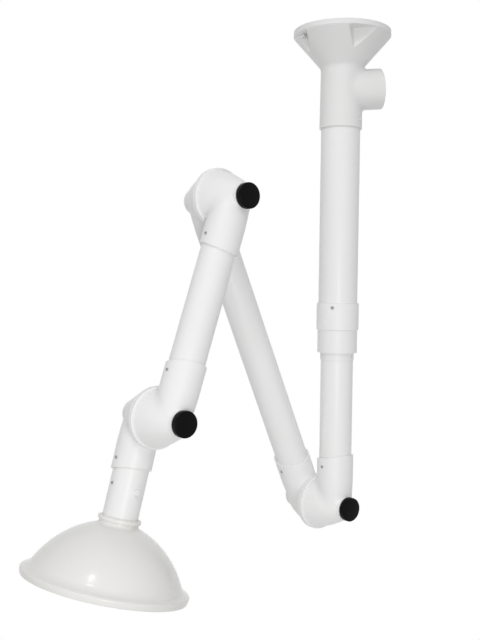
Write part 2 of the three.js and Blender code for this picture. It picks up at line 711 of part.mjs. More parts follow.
function hoodSnapRing() {
  const inner = hoodNeckRadius + FIT_GAP;
  const outer = inner + SNAP_RING_WALL;
  const from = hoodNeckReach + SNAP_RING_INSET;
  const to = from + SNAP_RING_HEIGHT;
  const round = SNAP_RING_WALL / 2;
  return upright([
    [inner, from], [outer - round, from], [outer, from + round], [outer, to - round], [outer - round, to],
    [inner, to], [inner, from],
  ], HOOD_STEPS);
}

// Damper. The shaft lies along Y through the hood tube, with the flap open at rest.

const damperShaftRadius = DAMPER_SHAFT_DIAMETER / 2;
const damperHoleRadius = damperShaftRadius + FIT_GAP;
const damperDiscRadius = armBore - DAMPER_CLEARANCE;
const tubeFace = armRadius + FIT_GAP;
const buttonBoreEnd = tubeFace + DAMPER_BUTTON_BORE;
const buttonFront = buttonBoreEnd + DAMPER_BUTTON_FACE;
const retainerEnd = tubeFace + DAMPER_RETAINER_THICKNESS;
const damperShaftEnd = retainerEnd + FIT_GAP;
const atDamper = (geometry) => geometry.translate(0, ductOffset, damperReach);

function damperDisc() {
  const halfThickness = DAMPER_DISC_THICKNESS / 2;
  const disc = turned(barProfile(damperDiscRadius, -halfThickness, halfThickness)).rotateZ(Math.PI / 2);
  const hubRadius = damperHoleRadius + DAMPER_HUB_WALL;
  const hubLength = damperDiscRadius - hubRadius;
  const hub = turned(barProfile(hubRadius, -hubLength, hubLength), SMALL_STEPS);
  const hole = turned(barProfile(damperHoleRadius, -armRadius, armRadius), SMALL_STEPS);
  return atDamper(cut(join(disc, hub), hole));
}

const damperShaft = () => atDamper(turned(
  barProfile(damperShaftRadius, -buttonBoreEnd + FIT_GAP, damperShaftEnd), SMALL_STEPS));

const damperHoles = () => atDamper(turned(
  barProfile(damperHoleRadius, -armRadius - CUT_MARGIN, armRadius + CUT_MARGIN), SMALL_STEPS));

function damperButton() {
  const radius = DAMPER_BUTTON_DIAMETER / 2;
  const round = DAMPER_BUTTON_FACE / 2;
  return atDamper(turned([
    [damperHoleRadius, -tubeFace], [radius, -tubeFace], [radius, -buttonFront + round],
    [radius - round, -buttonFront], [0, -buttonFront], [0, -buttonBoreEnd],
    [damperHoleRadius, -buttonBoreEnd], [damperHoleRadius, -tubeFace],
  ], SMALL_STEPS));
}

function damperRetainer() {
  const outer = damperHoleRadius + DAMPER_RETAINER_WIDTH;
  return atDamper(turned(sleeveProfile(outer, damperHoleRadius, tubeFace, retainerEnd), SMALL_STEPS));
}

// Assembly

// Sides of the sockets that carry the small screws: +1 or -1 along the arm's own X.
const SCREW_SIDES = {
  dropTube: -1,
  lowerArmFoot: -1,
  lowerArmHead: 1,
  upperArmHead: 1,
  upperArmFoot: 1,
  hoodTube: 1,
};

const arm = new THREE.Group();

function addCeilingColumn(group) {
  piece(group, 'ceiling_bracket', ceilingBracket(), WHITE_PLASTIC);
  BOLTED_POCKETS.forEach((pocketIndex, i) => {
    piece(group, `ceiling_bolt_${i + 1}`, ceilingBolt(pocketAzimuths[pocketIndex]), STEEL);
  });
  piece(group, 'column_tube', columnTube(), WHITE_PLASTIC);
  piece(group, 'column_screw', placeColumnScrew(wallScrew(bracketCollarRadius, columnScrewTip)), STEEL);
  piece(group, 'telescope_collar', telescopeCollar(), WHITE_PLASTIC);
  piece(group, 'collar_screw', placeCollarScrew(wallScrew(collarScrewSeat, columnScrewTip)), STEEL);
  piece(group, 'guide_bush', guideBush(), WHITE_PLASTIC);
}

// The telescope's inner tube with the lower elbow's front half.
function addDrop(group) {
  const hole = tubeScrewHole(-1, SCREW_SIDES.dropTube, socketScrewReach);
  piece(group, 'drop_tube', armTube(-1, tubeStart, tubeStart + DROP_TUBE_LENGTH, hole), WHITE_PLASTIC);
  addFrontHalf(group, 'lower_elbow', SCREW_SIDES.dropTube, 0);
}

function addLowerArm(group) {
  const head = LOWER_ARM_LENGTH - socketScrewReach;
  const tube = armTube(1, tubeStart, LOWER_ARM_LENGTH - tubeStart,
    tubeScrewHole(1, SCREW_SIDES.lowerArmFoot, socketScrewReach),
    tubeScrewHole(1, SCREW_SIDES.lowerArmHead, head));
  piece(group, 'lower_arm_tube', tube, WHITE_PLASTIC);
  addRearHalf(group, 'lower_elbow', -SCREW_SIDES.lowerArmFoot, 0);
  const end = new THREE.Group();
  end.position.z = LOWER_ARM_LENGTH;
  group.add(end);
  addRearHalf(end, 'upper_elbow', SCREW_SIDES.lowerArmHead, Math.PI);
}

function addUpperArm(group) {
  const foot = UPPER_ARM_LENGTH - socketScrewReach;
  const tube = armTube(-1, tubeStart, UPPER_ARM_LENGTH - tubeStart,
    tubeScrewHole(-1, SCREW_SIDES.upperArmHead, socketScrewReach),
    tubeScrewHole(-1, SCREW_SIDES.upperArmFoot, foot));
  piece(group, 'upper_arm_tube', tube, WHITE_PLASTIC);
  addFrontHalf(group, 'upper_elbow', SCREW_SIDES.upperArmHead, 0);
  const end = new THREE.Group();
  end.position.z = UPPER_ARM_LENGTH;
  group.add(end);
  addFrontHalf(end, 'hood_elbow', -SCREW_SIDES.upperArmFoot, Math.PI);
}

function addHoodArm(group) {
  const side = SCREW_SIDES.hoodTube;
  const tube = armTube(1, tubeStart, hoodTubeEnd, tubeScrewHole(1, side, socketScrewReach),
    tubeScrewHole(1, side, hoodTubeScrewReach), damperHoles());
  piece(group, 'hood_tube', tube, WHITE_PLASTIC);
  const screw = wallScrew(armRadius, armScrewTip).translate(0, ductOffset, hoodTubeScrewReach);
  piece(group, 'hood_tube_screw', screw, STEEL);
  addRearHalf(group, 'hood_elbow', -side, 0);
  piece(group, 'hood', hoodShell().translate(0, ductOffset, 0), HOOD_PLASTIC);
  piece(group, 'hood_snap_ring', hoodSnapRing().translate(0, ductOffset, 0), HOOD_PLASTIC);
  piece(group, 'damper_disc', damperDisc(), WHITE_PLASTIC);
  piece(group, 'damper_shaft', damperShaft(), STEEL);
  piece(group, 'damper_button', damperButton(), WHITE_PLASTIC);
  piece(group, 'damper_retainer', damperRetainer(), STEEL);
}

// Turns about Y that point a group's +Z along each arm.
const lowerTurn = -radians(LOWER_ARM_LEAN);
const upperTurn = radians(UPPER_ARM_LEAN) - Math.PI;
const hoodTurn = radians(HOOD_TUBE_LEAN) - Math.PI;

const drop = new THREE.Group();
drop.position.set(0, ductOffset, -LOWER_AXIS_DROP);
const lowerArm = new THREE.Group();
lowerArm.rotation.y = lowerTurn;
const upperArm = new THREE.Group();
upperArm.position.z = LOWER_ARM_LENGTH;
upperArm.rotation.y = upperTurn - lowerTurn;
const hoodArm = new THREE.Group();
hoodArm.position.z = UPPER_ARM_LENGTH;
hoodArm.rotation.y = hoodTurn - upperTurn;
arm.add(drop);
drop.add(lowerArm);
lowerArm.add(upperArm);
upperArm.add(hoodArm);

addCeilingColumn(arm);
addDrop(drop);
addLowerArm(lowerArm);
addUpperArm(upperArm);
addHoodArm(hoodArm);

export default arm;
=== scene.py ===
# %% [markdown]
# A ceiling-hung fume extraction arm: white plastic ducts, three friction elbows with black
# clamp knobs, and a dome hood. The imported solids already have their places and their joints.
# This lesson dresses them: it builds smooth skins over the faceted solids, gives each one a
# finish made of nodes, and lights the whole as a plain product picture.

# %% Load the frame
import json
import math
import bmesh
import bpy
from mathutils import Matrix, Vector
from mathutils.kdtree import KDTree


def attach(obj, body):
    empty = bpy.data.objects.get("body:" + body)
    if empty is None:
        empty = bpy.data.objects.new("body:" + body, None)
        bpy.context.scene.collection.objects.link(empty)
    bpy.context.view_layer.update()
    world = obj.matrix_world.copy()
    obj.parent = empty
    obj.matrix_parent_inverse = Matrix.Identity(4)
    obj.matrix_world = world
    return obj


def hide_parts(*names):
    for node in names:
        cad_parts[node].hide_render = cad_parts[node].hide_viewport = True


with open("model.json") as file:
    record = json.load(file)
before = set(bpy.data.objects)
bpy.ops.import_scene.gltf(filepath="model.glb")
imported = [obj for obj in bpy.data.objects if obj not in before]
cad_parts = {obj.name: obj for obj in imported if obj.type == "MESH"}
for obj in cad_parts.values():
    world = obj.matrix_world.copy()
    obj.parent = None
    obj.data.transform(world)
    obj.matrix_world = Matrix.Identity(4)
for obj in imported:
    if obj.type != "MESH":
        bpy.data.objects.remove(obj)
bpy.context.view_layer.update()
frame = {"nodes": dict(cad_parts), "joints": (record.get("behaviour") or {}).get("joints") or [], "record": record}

# %% [markdown]
# Every piece is drawn in millimetres, because that is how such an arm is measured, and shrunk
# to metres as it is put in place. The elbows' centres and the leans of the arms come from the
# frame's joints, so the skins stay on their solids if those move.

# %% Places taken from the joints
MM = 0.001
joint_place = {joint["name"]: joint.get("pos_m") for joint in frame["joints"]}


def joint_centre(name):
    return Vector(joint_place[name]) / MM


def lean_between(start, end):
    return math.atan2(end.x - start.x, end.z - start.z)


def limb_frame(centre, lean):
    return Matrix.Translation(centre) @ Matrix.Rotation(lean, 4, "Y")


lower_centre = joint_centre("lower_elbow")
upper_centre = joint_centre("upper_elbow")
hood_centre = joint_centre("hood_elbow")
damper_centre = joint_centre("damper_turn")
lower_lean = lean_between(lower_centre, upper_centre)
upper_lean = lean_between(upper_centre, hood_centre)
hood_lean = lean_between(hood_centre, damper_centre)
lower_length = (upper_centre - lower_centre).length
upper_length = (hood_centre - upper_centre).length

column_frame = Matrix.Identity(4)
drop_frame = limb_frame(lower_centre, 0)
lower_frame = limb_frame(lower_centre, lower_lean)
upper_frame = limb_frame(upper_centre, upper_lean)
hood_frame = limb_frame(hood_centre, hood_lean)
print("leans", [round(math.degrees(lean), 1) for lean in (lower_lean, upper_lean, hood_lean)])

# %% [markdown]
# The camera stands where the photographer stood. Its place, heading, pitch and roll are plain
# numbers, and the focal length in pixels becomes a lens by way of the sensor's long side.

# %% Camera
CAMERA_PLACE = Vector((-1.4239, -1.4217, -0.5790))
CAMERA_HEADING = math.radians(51.443)
CAMERA_PITCH = math.radians(-2.458)
CAMERA_ROLL = math.radians(0.676)
FOCAL_PIXELS = 857.9
PICTURE_HEIGHT = 640
SENSOR = 36.0


def make_camera():
    data = bpy.data.cameras.new("camera")
    data.sensor_width = SENSOR
    data.lens = FOCAL_PIXELS * SENSOR / PICTURE_HEIGHT
    camera = bpy.data.objects.new("camera", data)
    bpy.context.scene.collection.objects.link(camera)
    aim = Matrix.Rotation(CAMERA_HEADING - math.pi / 2, 4, "Z")
    tilt = Matrix.Rotation(math.pi / 2 + CAMERA_PITCH, 4, "X")
    roll = Matrix.Rotation(CAMERA_ROLL, 4, "Z")
    camera.matrix_world = Matrix.Translation(CAMERA_PLACE) @ aim @ tilt @ roll
    bpy.context.scene.camera = camera
    return camera


camera = make_camera()
bpy.context.scene.view_settings.view_transform = "Standard"
print("lens", round(camera.data.lens, 2))

# %% [markdown]
# Shader sums read best as Python sums. This small class holds one output socket. Adding,
# subtracting or multiplying two of them, or one and a number, adds a Math node. Its node method
# makes any other node from a type, the settings to fix first, and the values or links of its
# sockets.


# %% Sums of sockets
class Wire:
    def __init__(self, tree, socket):
        self.tree = tree
        self.socket = socket

    @classmethod
    def node(cls, tree, kind, settings=None, inputs=None, output=0):
        made = tree.nodes.new(kind)
        for name, value in (settings or {}).items():
            setattr(made, name, value)
        for name, value in (inputs or {}).items():
            if isinstance(value, Wire):
                tree.links.new(value.socket, made.inputs[name])
            else:
                made.inputs[name].default_value = value
        return cls(tree, made.outputs[output]) if len(made.outputs) else made

    def math(self, operation, first, second):
        return Wire.node(self.tree, "ShaderNodeMath", {"operation": operation}, {0: first, 1: second})

    def __add__(self, other):
        return self.math("ADD", self, other)

    def __radd__(self, other):
        return self.math("ADD", other, self)

    def __sub__(self, other):
        return self.math("SUBTRACT", self, other)

    def __rsub__(self, other):
        return self.math("SUBTRACT", other, self)

    def __mul__(self, other):
        return self.math("MULTIPLY", self, other)

    def __rmul__(self, other):
        return self.math("MULTIPLY", other, self)

    def most(self, other):
        return self.math("MAXIMUM", self, other)


print("sums of sockets ready")

# %% [markdown]
# A finish is one Principled shader fed by a few noises on Object coordinates, which are in
# metres. All finishes share the helpers below: a noise, the mix of two colours, and a bump.
# Whatever is the same all over is written on the shader's own socket. A Mix node has sockets for
# numbers, vectors and colours under the same names, so the ones for colours are given by number.

# %% Parts of a finish
FIRST_COLOUR = 6
SECOND_COLOUR = 7
MIXED_COLOUR = 2


def new_material(name):
    material = bpy.data.materials.new(name)
    material.use_nodes = True
    material.node_tree.nodes.clear()
    return material, material.node_tree


def object_place(tree, turn=0.0, stretch=(1.0, 1.0, 1.0)):
    place = Wire.node(tree, "ShaderNodeTexCoord", output="Object")
    settings = {"vector_type": "TEXTURE"}
    return Wire.node(tree, "ShaderNodeMapping", settings,
                     {"Vector": place, "Rotation": (0.0, turn, 0.0), "Scale": stretch})


def noise(tree, place, scale, detail=2.0, roughness=0.5):
    return Wire.node(tree, "ShaderNodeTexNoise", None,
                     {"Vector": place, "Scale": scale, "Detail": detail, "Roughness": roughness})


def blend_colours(tree, share, first, second):
    return Wire.node(tree, "ShaderNodeMix", {"data_type": "RGBA"},
                     {0: share, FIRST_COLOUR: first, SECOND_COLOUR: second}, MIXED_COLOUR)


def bump(tree, height, strength, distance):
    return Wire.node(tree, "ShaderNodeBump", None,
                     {"Height": height, "Strength": strength, "Distance": distance})


def finish_material(tree, inputs):
    shader = Wire.node(tree, "ShaderNodeBsdfPrincipled", None, inputs)
    Wire.node(tree, "ShaderNodeOutputMaterial", None, {"Surface": shader})


print("parts of a finish ready")

# %% [markdown]
# The arm is injection-moulded and extruded white plastic, smooth but not mirror-like. Moulded
# parts have a soft orange-peel surface. Extruded tubes have faint lines along their length, so
# their noise is stretched along the tube, turned to the arm's own lean. The bracket's white is a
# darker copy of the same plastic: painted shade for the weaker light near the ceiling.

# %% White plastics
PLASTIC_LIGHT = (0.905, 0.905, 0.900, 1.0)
PLASTIC_DIM = (0.880, 0.882, 0.880, 1.0)
# Painted shade: the bracket's two colours are the same white plastic made darker, for the weaker light near the
# ceiling.
BRACKET_SHADED_LIGHT = (0.855, 0.855, 0.848, 1.0)
BRACKET_SHADED_DIM = (0.830, 0.832, 0.828, 1.0)
HOOD_LIGHT = (0.850, 0.842, 0.822, 1.0)
HOOD_DIM = (0.825, 0.816, 0.794, 1.0)
PLASTIC_SHINE = 0.3
NOISE_MIDDLE = 0.5
MOULDED_ROUGHNESS = 0.36
TUBE_ROUGHNESS = 0.33
HOOD_ROUGHNESS = 0.20
PATCH_SCALE = 9.0
GRAIN_SCALE = 420.0
MARK_SCALE = GRAIN_SCALE / 6
MARK_SPREAD = 0.08
ALONG_TUBE = 60.0


def plastic(name, light, dim, roughness, turn=0.0, along=1.0):
    material, tree = new_material(name)
    place = object_place(tree)
    lines = object_place(tree, turn, (1.0, 1.0, along))
    patches = noise(tree, place, PATCH_SCALE, detail=3.0)
    grain = noise(tree, lines, GRAIN_SCALE, detail=2.0)
    marks = noise(tree, lines, MARK_SCALE, detail=4.0, roughness=0.6)
    finish_material(tree, {
        "Base Color": blend_colours(tree, patches, dim, light),
        "Roughness": roughness + MARK_SPREAD * (marks - NOISE_MIDDLE),
        "Specular IOR Level": PLASTIC_SHINE,
        "Normal": bump(tree, grain, strength=0.02, distance=0.0003),
    })
    return material


moulded_white = plastic("moulded_white", PLASTIC_LIGHT, PLASTIC_DIM, MOULDED_ROUGHNESS)
# The bracket's finish carries painted shade in its darker colours.
bracket_shaded_white = plastic("bracket_shaded_white", BRACKET_SHADED_LIGHT, BRACKET_SHADED_DIM, MOULDED_ROUGHNESS)
hood_white = plastic("hood_white", HOOD_LIGHT, HOOD_DIM, HOOD_ROUGHNESS)
tube_leans = {"column": 0.0, "lower": lower_lean, "upper": upper_lean, "hood": hood_lean}
tube_white = {
    limb: plastic(f"{limb}_tube_white", PLASTIC_LIGHT, PLASTIC_DIM, TUBE_ROUGHNESS, lean, ALONG_TUBE)
    for limb, lean in tube_leans.items()
}
print("white plastics", [white.name for white in (moulded_white, bracket_shaded_white, hood_white)],
      "and for tubes", list(tube_white))

# %% [markdown]
# The clamp knobs are satin black plastic with a fine sparked texture. The washers are natural
# nylon, and the friction rings rubber. The metal is bright steel for the ceiling bolts, the rods,
# the damper's shaft and the column's screw, and darker zinc for the other small screws.

# %% Black plastic, nylon, rubber and metals
KNOB_BLACK = (0.0025, 0.0025, 0.0025, 1.0)
KNOB_WORN = (0.0045, 0.0045, 0.0045, 1.0)
NYLON_LIGHT = (0.80, 0.78, 0.71, 1.0)
NYLON_DIM = (0.74, 0.72, 0.64, 1.0)
RUBBER_DARK = (0.025, 0.025, 0.026, 1.0)
RUBBER_DUSTY = (0.055, 0.055, 0.053, 1.0)
STEEL_LIGHT = (0.80, 0.80, 0.79, 1.0)
STEEL_DIM = (0.68, 0.69, 0.70, 1.0)
ZINC_LIGHT = (0.42, 0.42, 0.425, 1.0)
ZINC_DIM = (0.28, 0.28, 0.285, 1.0)
PATCH_SHARE = 0.06
TEXTURE_SPREAD = 0.14
METAL_PATCH_SCALE = 260.0
METAL_SPREAD = 0.2
BRUSH_SCALE = 900.0
BRUSH_STRETCH = (1.0, 1.0, 0.05)


def textured(name, light, dim, roughness, shine, grain_size, depth):
    material, tree = new_material(name)
    place = object_place(tree)
    grain = noise(tree, place, 1.0 / grain_size, detail=3.0, roughness=0.6)
    patches = noise(tree, place, PATCH_SHARE / grain_size, detail=3.0)
    finish_material(tree, {
        "Base Color": blend_colours(tree, patches, dim, light),
        "Roughness": roughness + TEXTURE_SPREAD * (patches - NOISE_MIDDLE),
        "Specular IOR Level": shine,
        "Normal": bump(tree, grain, strength=0.25, distance=depth),
    })
    return material


def metal(name, light, dim, roughness):
    material, tree = new_material(name)
    patches = noise(tree, object_place(tree), METAL_PATCH_SCALE, detail=3.0)
    brushing = noise(tree, object_place(tree, stretch=BRUSH_STRETCH), BRUSH_SCALE, detail=2.0)
    finish_material(tree, {
        "Base Color": blend_colours(tree, patches, dim, light),
        "Roughness": roughness + METAL_SPREAD * (patches - NOISE_MIDDLE),
        "Metallic": 1.0,
        "Normal": bump(tree, brushing, strength=0.1, distance=0.0001),
    })
    return material


knob_black = textured("knob_black", KNOB_WORN, KNOB_BLACK,
                      roughness=0.30, shine=0.06, grain_size=0.0005, depth=0.00006)
nylon = textured("nylon", NYLON_LIGHT, NYLON_DIM,
                 roughness=0.5, shine=0.3, grain_size=0.0007, depth=0.00005)
rubber = textured("rubber", RUBBER_DUSTY, RUBBER_DARK,
                  roughness=0.75, shine=0.2, grain_size=0.0009, depth=0.0001)
steel = metal("steel", STEEL_LIGHT, STEEL_DIM, roughness=0.28)
zinc = metal("dark_zinc", ZINC_LIGHT, ZINC_DIM, roughness=0.42)
print("materials", len(bpy.data.materials))

# %% [markdown]
# Most pieces are turned: a half outline of a few corners, each with its own rounding, spun
# about an axis. A corner is rounded by a vertex bevel on the bare outline, which is quicker
# and cleaner than bevelling the finished solid. Spinning leaves doubled vertices on the axis,
# so these are merged before the normals are recalculated.

# %% Turned shapes
ROUND_STEPS = 144
CORNER_STEPS = 4
WELD = 0.0005
UP = (0.0, 0.0, 1.0)


def turned(outline, steps=ROUND_STEPS, closed=True):
    """Spins corners of (radius, height, rounding) about Z."""
    bm = bmesh.new()
    corners = [bm.verts.new((radius, 0.0, height)) for radius, height, _ in outline]
    pairs = list(zip(corners, corners[1:]))
    if closed:
        pairs.append((corners[-1], corners[0]))
    for pair in pairs:
        bm.edges.new(pair)
    for corner, (_, _, rounding) in zip(corners, outline):
        if rounding:
            bmesh.ops.bevel(bm, geom=[corner], offset=rounding, offset_type="OFFSET",
                            segments=CORNER_STEPS, profile=0.5, affect="VERTICES", material=-1)
    bmesh.ops.spin(bm, geom=bm.verts[:] + bm.edges[:], cent=(0, 0, 0), axis=UP,
                   angle=2 * math.pi, steps=steps, use_merge=True)
    bmesh.ops.remove_doubles(bm, verts=bm.verts, dist=WELD)
    bmesh.ops.recalc_face_normals(bm, faces=bm.faces)
    return bm


def solid(outline, steps=ROUND_STEPS):
    """The same for an outline that starts and ends on the axis."""
    return turned(outline, steps, closed=False)


def block(length, width, height):
    bm = bmesh.new()
    bmesh.ops.create_cube(bm, size=1, matrix=Matrix.Diagonal((length, width, height, 1)))
    return bm


def placed(bm, *matrices):
    for matrix in matrices:
        bmesh.ops.transform(bm, matrix=matrix, verts=bm.verts)
    return bm


def shifted(x=0.0, y=0.0, z=0.0):
    return Matrix.Translation((x, y, z))


def spun(angle, axis):
    return Matrix.Rotation(angle, 4, axis)


print("a full turn has", ROUND_STEPS, "steps")

# %% [markdown]
# A finished bmesh becomes an object here. Its place goes into the mesh, it rides on the body of
# the solid that it stands for, and that solid is hidden. Faces that meet at a low angle shade
# smoothly, and sharper edges stay crisp.

# %% Pieces on their bodies
CREASE = math.radians(32)
body_nodes = frame["record"]["behaviour"]["bodies"]
node_body = {node: body for body, nodes in body_nodes.items() for node in nodes}


def piece(name, bm, material, node, place=column_frame):
    placed(bm, place, Matrix.Scale(MM, 4))
    mesh = bpy.data.meshes.new(name)
    bm.to_mesh(mesh)
    bm.free()
    mesh.shade_smooth()
    mesh.set_sharp_from_angle(angle=CREASE)
    mesh.materials.append(material)
    made = bpy.data.objects.new(name, mesh)
    bpy.context.scene.collection.objects.link(made)
    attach(made, node_body[node])
    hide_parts(node)
    print(name, len(mesh.polygons), "faces on", node_body[node])


# %% [markdown]
# Mouldings are joined shapes with soft corners. The Boolean modifier joins and cuts, the voxel
# Remesh gives even faces, and smoothing vertices near the inside corners turns a hard seam into
# the fillet that a mould leaves. The inside corners are found on the joined shape, as edges
# that are not convex, before the remesh forgets them.


# %% Joining and cutting
def shown(bm, name="scratch"):
    mesh = bpy.data.meshes.new(name)
    bm.to_mesh(mesh)
    bm.free()
    made = bpy.data.objects.new(name, mesh)
    bpy.context.scene.collection.objects.link(made)
    return made


def worked(made, others=()):
    """The shape after an object's modifiers, with the scratch objects removed."""
    graph = bpy.context.evaluated_depsgraph_get()
    bm = bmesh.new()
    bm.from_mesh(made.evaluated_get(graph).to_mesh())
    for scratch in [made, *others]:
        mesh = scratch.data
        bpy.data.objects.remove(scratch)
        bpy.data.meshes.remove(mesh)
    return bm


def cleaned(bm):
    """Removes the slivers that a Boolean leaves, which would spoil the next one."""
    bmesh.ops.remove_doubles(bm, verts=bm.verts, dist=WELD)
    bmesh.ops.dissolve_degenerate(bm, edges=bm.edges, dist=WELD)
    return bm


def combined(bm, operation, *tools):
    base = shown(bm)
    helpers = [shown(tool) for tool in tools]
    for helper in helpers:
        modifier = base.modifiers.new(operation, "BOOLEAN")
        modifier.operation = operation
        modifier.solver = "EXACT"
        modifier.object = helper
    return cleaned(worked(base, helpers))


def joined(bm, *tools):
    return combined(bm, "UNION", *tools)


def carved(bm, *tools):
    return combined(bm, "DIFFERENCE", *tools)


print("joining and cutting ready")

# %% [markdown]
# A trim cuts a soft shape square again, where the real moulding has a machined end. It closes
# the cut and rounds its edge a little. Smoothing works in rounds, and more rounds make a wider
# fillet.

# %% Remeshing, softening and trimming
LEAST_FOLD = math.radians(12)
POINT_SPACING = 2.0
LEAST_STEPS = 2
SMOOTHING = 0.5
TRIM_STEPS = 2


def remeshed(bm, voxel):
    base = shown(bm)
    modifier = base.modifiers.new("even faces", "REMESH")
    modifier.mode = "VOXEL"
    modifier.voxel_size = voxel
    return worked(base)


def inside_corners(bm):
    """Points along the edges where the surface folds inwards."""
    points = []
    for edge in bm.edges:
        if edge.is_manifold and not edge.is_convex and edge.calc_face_angle() > LEAST_FOLD:
            start, end = edge.verts[0].co, edge.verts[1].co
            steps = max(LEAST_STEPS, int((end - start).length / POINT_SPACING))
            points += [start.lerp(end, i / steps) for i in range(steps + 1)]
    return points


def softened(bm, verts, rounds):
    for _ in range(rounds):
        bmesh.ops.smooth_vert(bm, verts=verts, factor=SMOOTHING,
                              use_axis_x=True, use_axis_y=True, use_axis_z=True)
    return bm


def near(bm, points, reach):
    tree = KDTree(len(points))
    for i, point in enumerate(points):
        tree.insert(point, i)
    tree.balance()
    return [vert for vert in bm.verts if tree.find(vert.co)[2] < reach]


def trimmed(bm, point, direction, rounding, top=math.inf):
    """Cuts off what lies beyond a plane and below a height, closes the cut and rounds its edge."""
    low = [face for face in bm.faces if all(corner.co.z < top for corner in face.verts)]
    edges = list(dict.fromkeys(edge for face in low for edge in face.edges))
    corners = list(dict.fromkeys(corner for face in low for corner in face.verts))
    bmesh.ops.bisect_plane(bm, geom=low + edges + corners, dist=WELD,
                           plane_co=point, plane_no=direction, clear_outer=True)
    rim = [edge for edge in bm.edges if edge.is_boundary]
    made = bmesh.ops.holes_fill(bm, edges=rim, sides=0)
    bmesh.ops.recalc_face_normals(bm, faces=made["faces"])
    edge_loop = [edge for face in made["faces"] for edge in face.edges]
    bmesh.ops.bevel(bm, geom=edge_loop, offset=rounding, offset_type="OFFSET", segments=TRIM_STEPS,
                    profile=0.5, affect="EDGES", material=-1, clamp_overlap=True)
    return bm


print("softening ready")

# %% [markdown]
# The ceiling bracket is a funnel with a flange at the ceiling, a neck that takes the column, and
# a stub of duct at the side. A mould leaves wide fillets where such forms meet, so the funnel
# and the stub are joined and softened as one body. The flange is crisp on the real one, and is
# added afterwards. All of them are turned shapes.

# %% Outer forms of the bracket
ALONG_PLUS_X = spun(math.pi / 2, "Y")
OVERRUN = 10.0
FLANGE_RADIUS = 111.5
FLANGE_EDGE = 12.0
FLANGE_BEVEL = 5.0
FLANGE_BEVEL_DROP = 8.0
FLANGE_PROUD = 0.3
FLANGE_TOP_ROUNDING = 0.8
FLANGE_SIDE_ROUNDING = 3.0
FLANGE_LOW_ROUNDING = 0.7
ROOF_OVERLAP = 0.1
HOLLOW_OUTER = 100.0
FUNNEL_BOTTOM = 84.5
NECK_RADIUS = 47.5
BRACKET_END = 221.0
BRACKET_END_RADIUS = 49.0
SPIGOT_REACH = 92.0
SPIGOT_DROP = 133.5
SPIGOT_TURN = math.radians(-31)
SPIGOT_RISE = math.radians(5)
SPIGOT_PLACE = shifted(z=-SPIGOT_DROP) @ spun(SPIGOT_TURN, "Z") @ spun(-SPIGOT_RISE, "Y")


def bar(radius, start, end, steps=ROUND_STEPS):
    return solid([(0, start, 0), (radius, start, 0), (radius, end, 0), (0, end, 0)], steps)


def funnel():
    edge = FLANGE_RADIUS - FLANGE_PROUD
    low = -BRACKET_END - OVERRUN
    return solid([
        (0, OVERRUN, 0), (edge, OVERRUN, 0), (edge, -FLANGE_EDGE, 0), (NECK_RADIUS, -FUNNEL_BOTTOM, 0),
        (BRACKET_END_RADIUS, -BRACKET_END, 0), (BRACKET_END_RADIUS, low, 0), (0, low, 0),
    ])


def along_spigot(radius):
    return placed(bar(radius, 0, SPIGOT_REACH + OVERRUN), ALONG_PLUS_X, SPIGOT_PLACE)


def ceiling_flange():
    inner = HOLLOW_OUTER - OVERRUN
    low = ROOF_OVERLAP - FLANGE_EDGE
    return turned([
        (inner, 0, 0), (FLANGE_RADIUS - FLANGE_BEVEL, 0, FLANGE_TOP_ROUNDING),
        (FLANGE_RADIUS, -FLANGE_BEVEL_DROP, FLANGE_SIDE_ROUNDING),
        (FLANGE_RADIUS, low, FLANGE_LOW_ROUNDING), (inner, low, 0),
    ])


print("flange", 2 * FLANGE_RADIUS, "wide, neck", 2 * NECK_RADIUS)

# %% [markdown]
# Three notches in the funnel make room for the ceiling bolts. Each one is a V-shaped prism,
# wider to one side, from under the flange down to the neck. A triangle extruded upwards makes
# it, and a Boolean cuts it out later.

# %% Bolt notches
POCKET_CORNER = 75.0
POCKET_STEEP = math.tan(math.radians(36))
POCKET_OPEN = math.tan(math.radians(59))
POCKET_COUNT = 3
POCKET_FIRST = -115
POCKET_STEP = -90
POCKET_TURNS = [math.radians(POCKET_FIRST + POCKET_STEP * i) for i in range(POCKET_COUNT)]


def notch(turn):
    bm = bmesh.new()
    far = POCKET_CORNER + FLANGE_RADIUS
    steep, wide = -FLANGE_RADIUS * POCKET_STEEP, FLANGE_RADIUS * POCKET_OPEN
    corners = [(POCKET_CORNER, 0), (far, steep), (far, wide)]
    face = bm.faces.new([bm.verts.new((x, y, -FUNNEL_BOTTOM)) for x, y in corners])
    made = bmesh.ops.extrude_face_region(bm, geom=[face])
    raised = [item for item in made["geom"] if isinstance(item, bmesh.types.BMVert)]
    bmesh.ops.translate(bm, verts=raised, vec=(0, 0, FUNNEL_BOTTOM - FLANGE_EDGE))
    bmesh.ops.recalc_face_normals(bm, faces=bm.faces)
    return placed(bm, spun(turn, "Z"))


print("notches at", [round(math.degrees(turn)) for turn in POCKET_TURNS])

# %% [markdown]
# The bracket is hollow. A bore leads the air from the column to the stub, and above the funnel
# is a space that only the ceiling closes. That space is a turned ring with a block taken out of
# it over each notch, so that the notches keep their walls.

# %% Spaces inside the bracket
FIT_GAP = 0.3
COLUMN_RADIUS = 45.0
COLUMN_BORE = 42.0
COLUMN_TOP = 181.0
TOP_PLATE = 10.0
BRACKET_WALL = 4.0
FUNNEL_SLOPE = (FUNNEL_BOTTOM - FLANGE_EDGE) / (FLANGE_RADIUS - NECK_RADIUS)
HOLLOW_INNER = COLUMN_BORE + BRACKET_WALL
BOLT_CIRCLE = 90.0
BOLT_RADIUS = 4.0
SMALL_STEPS = 48


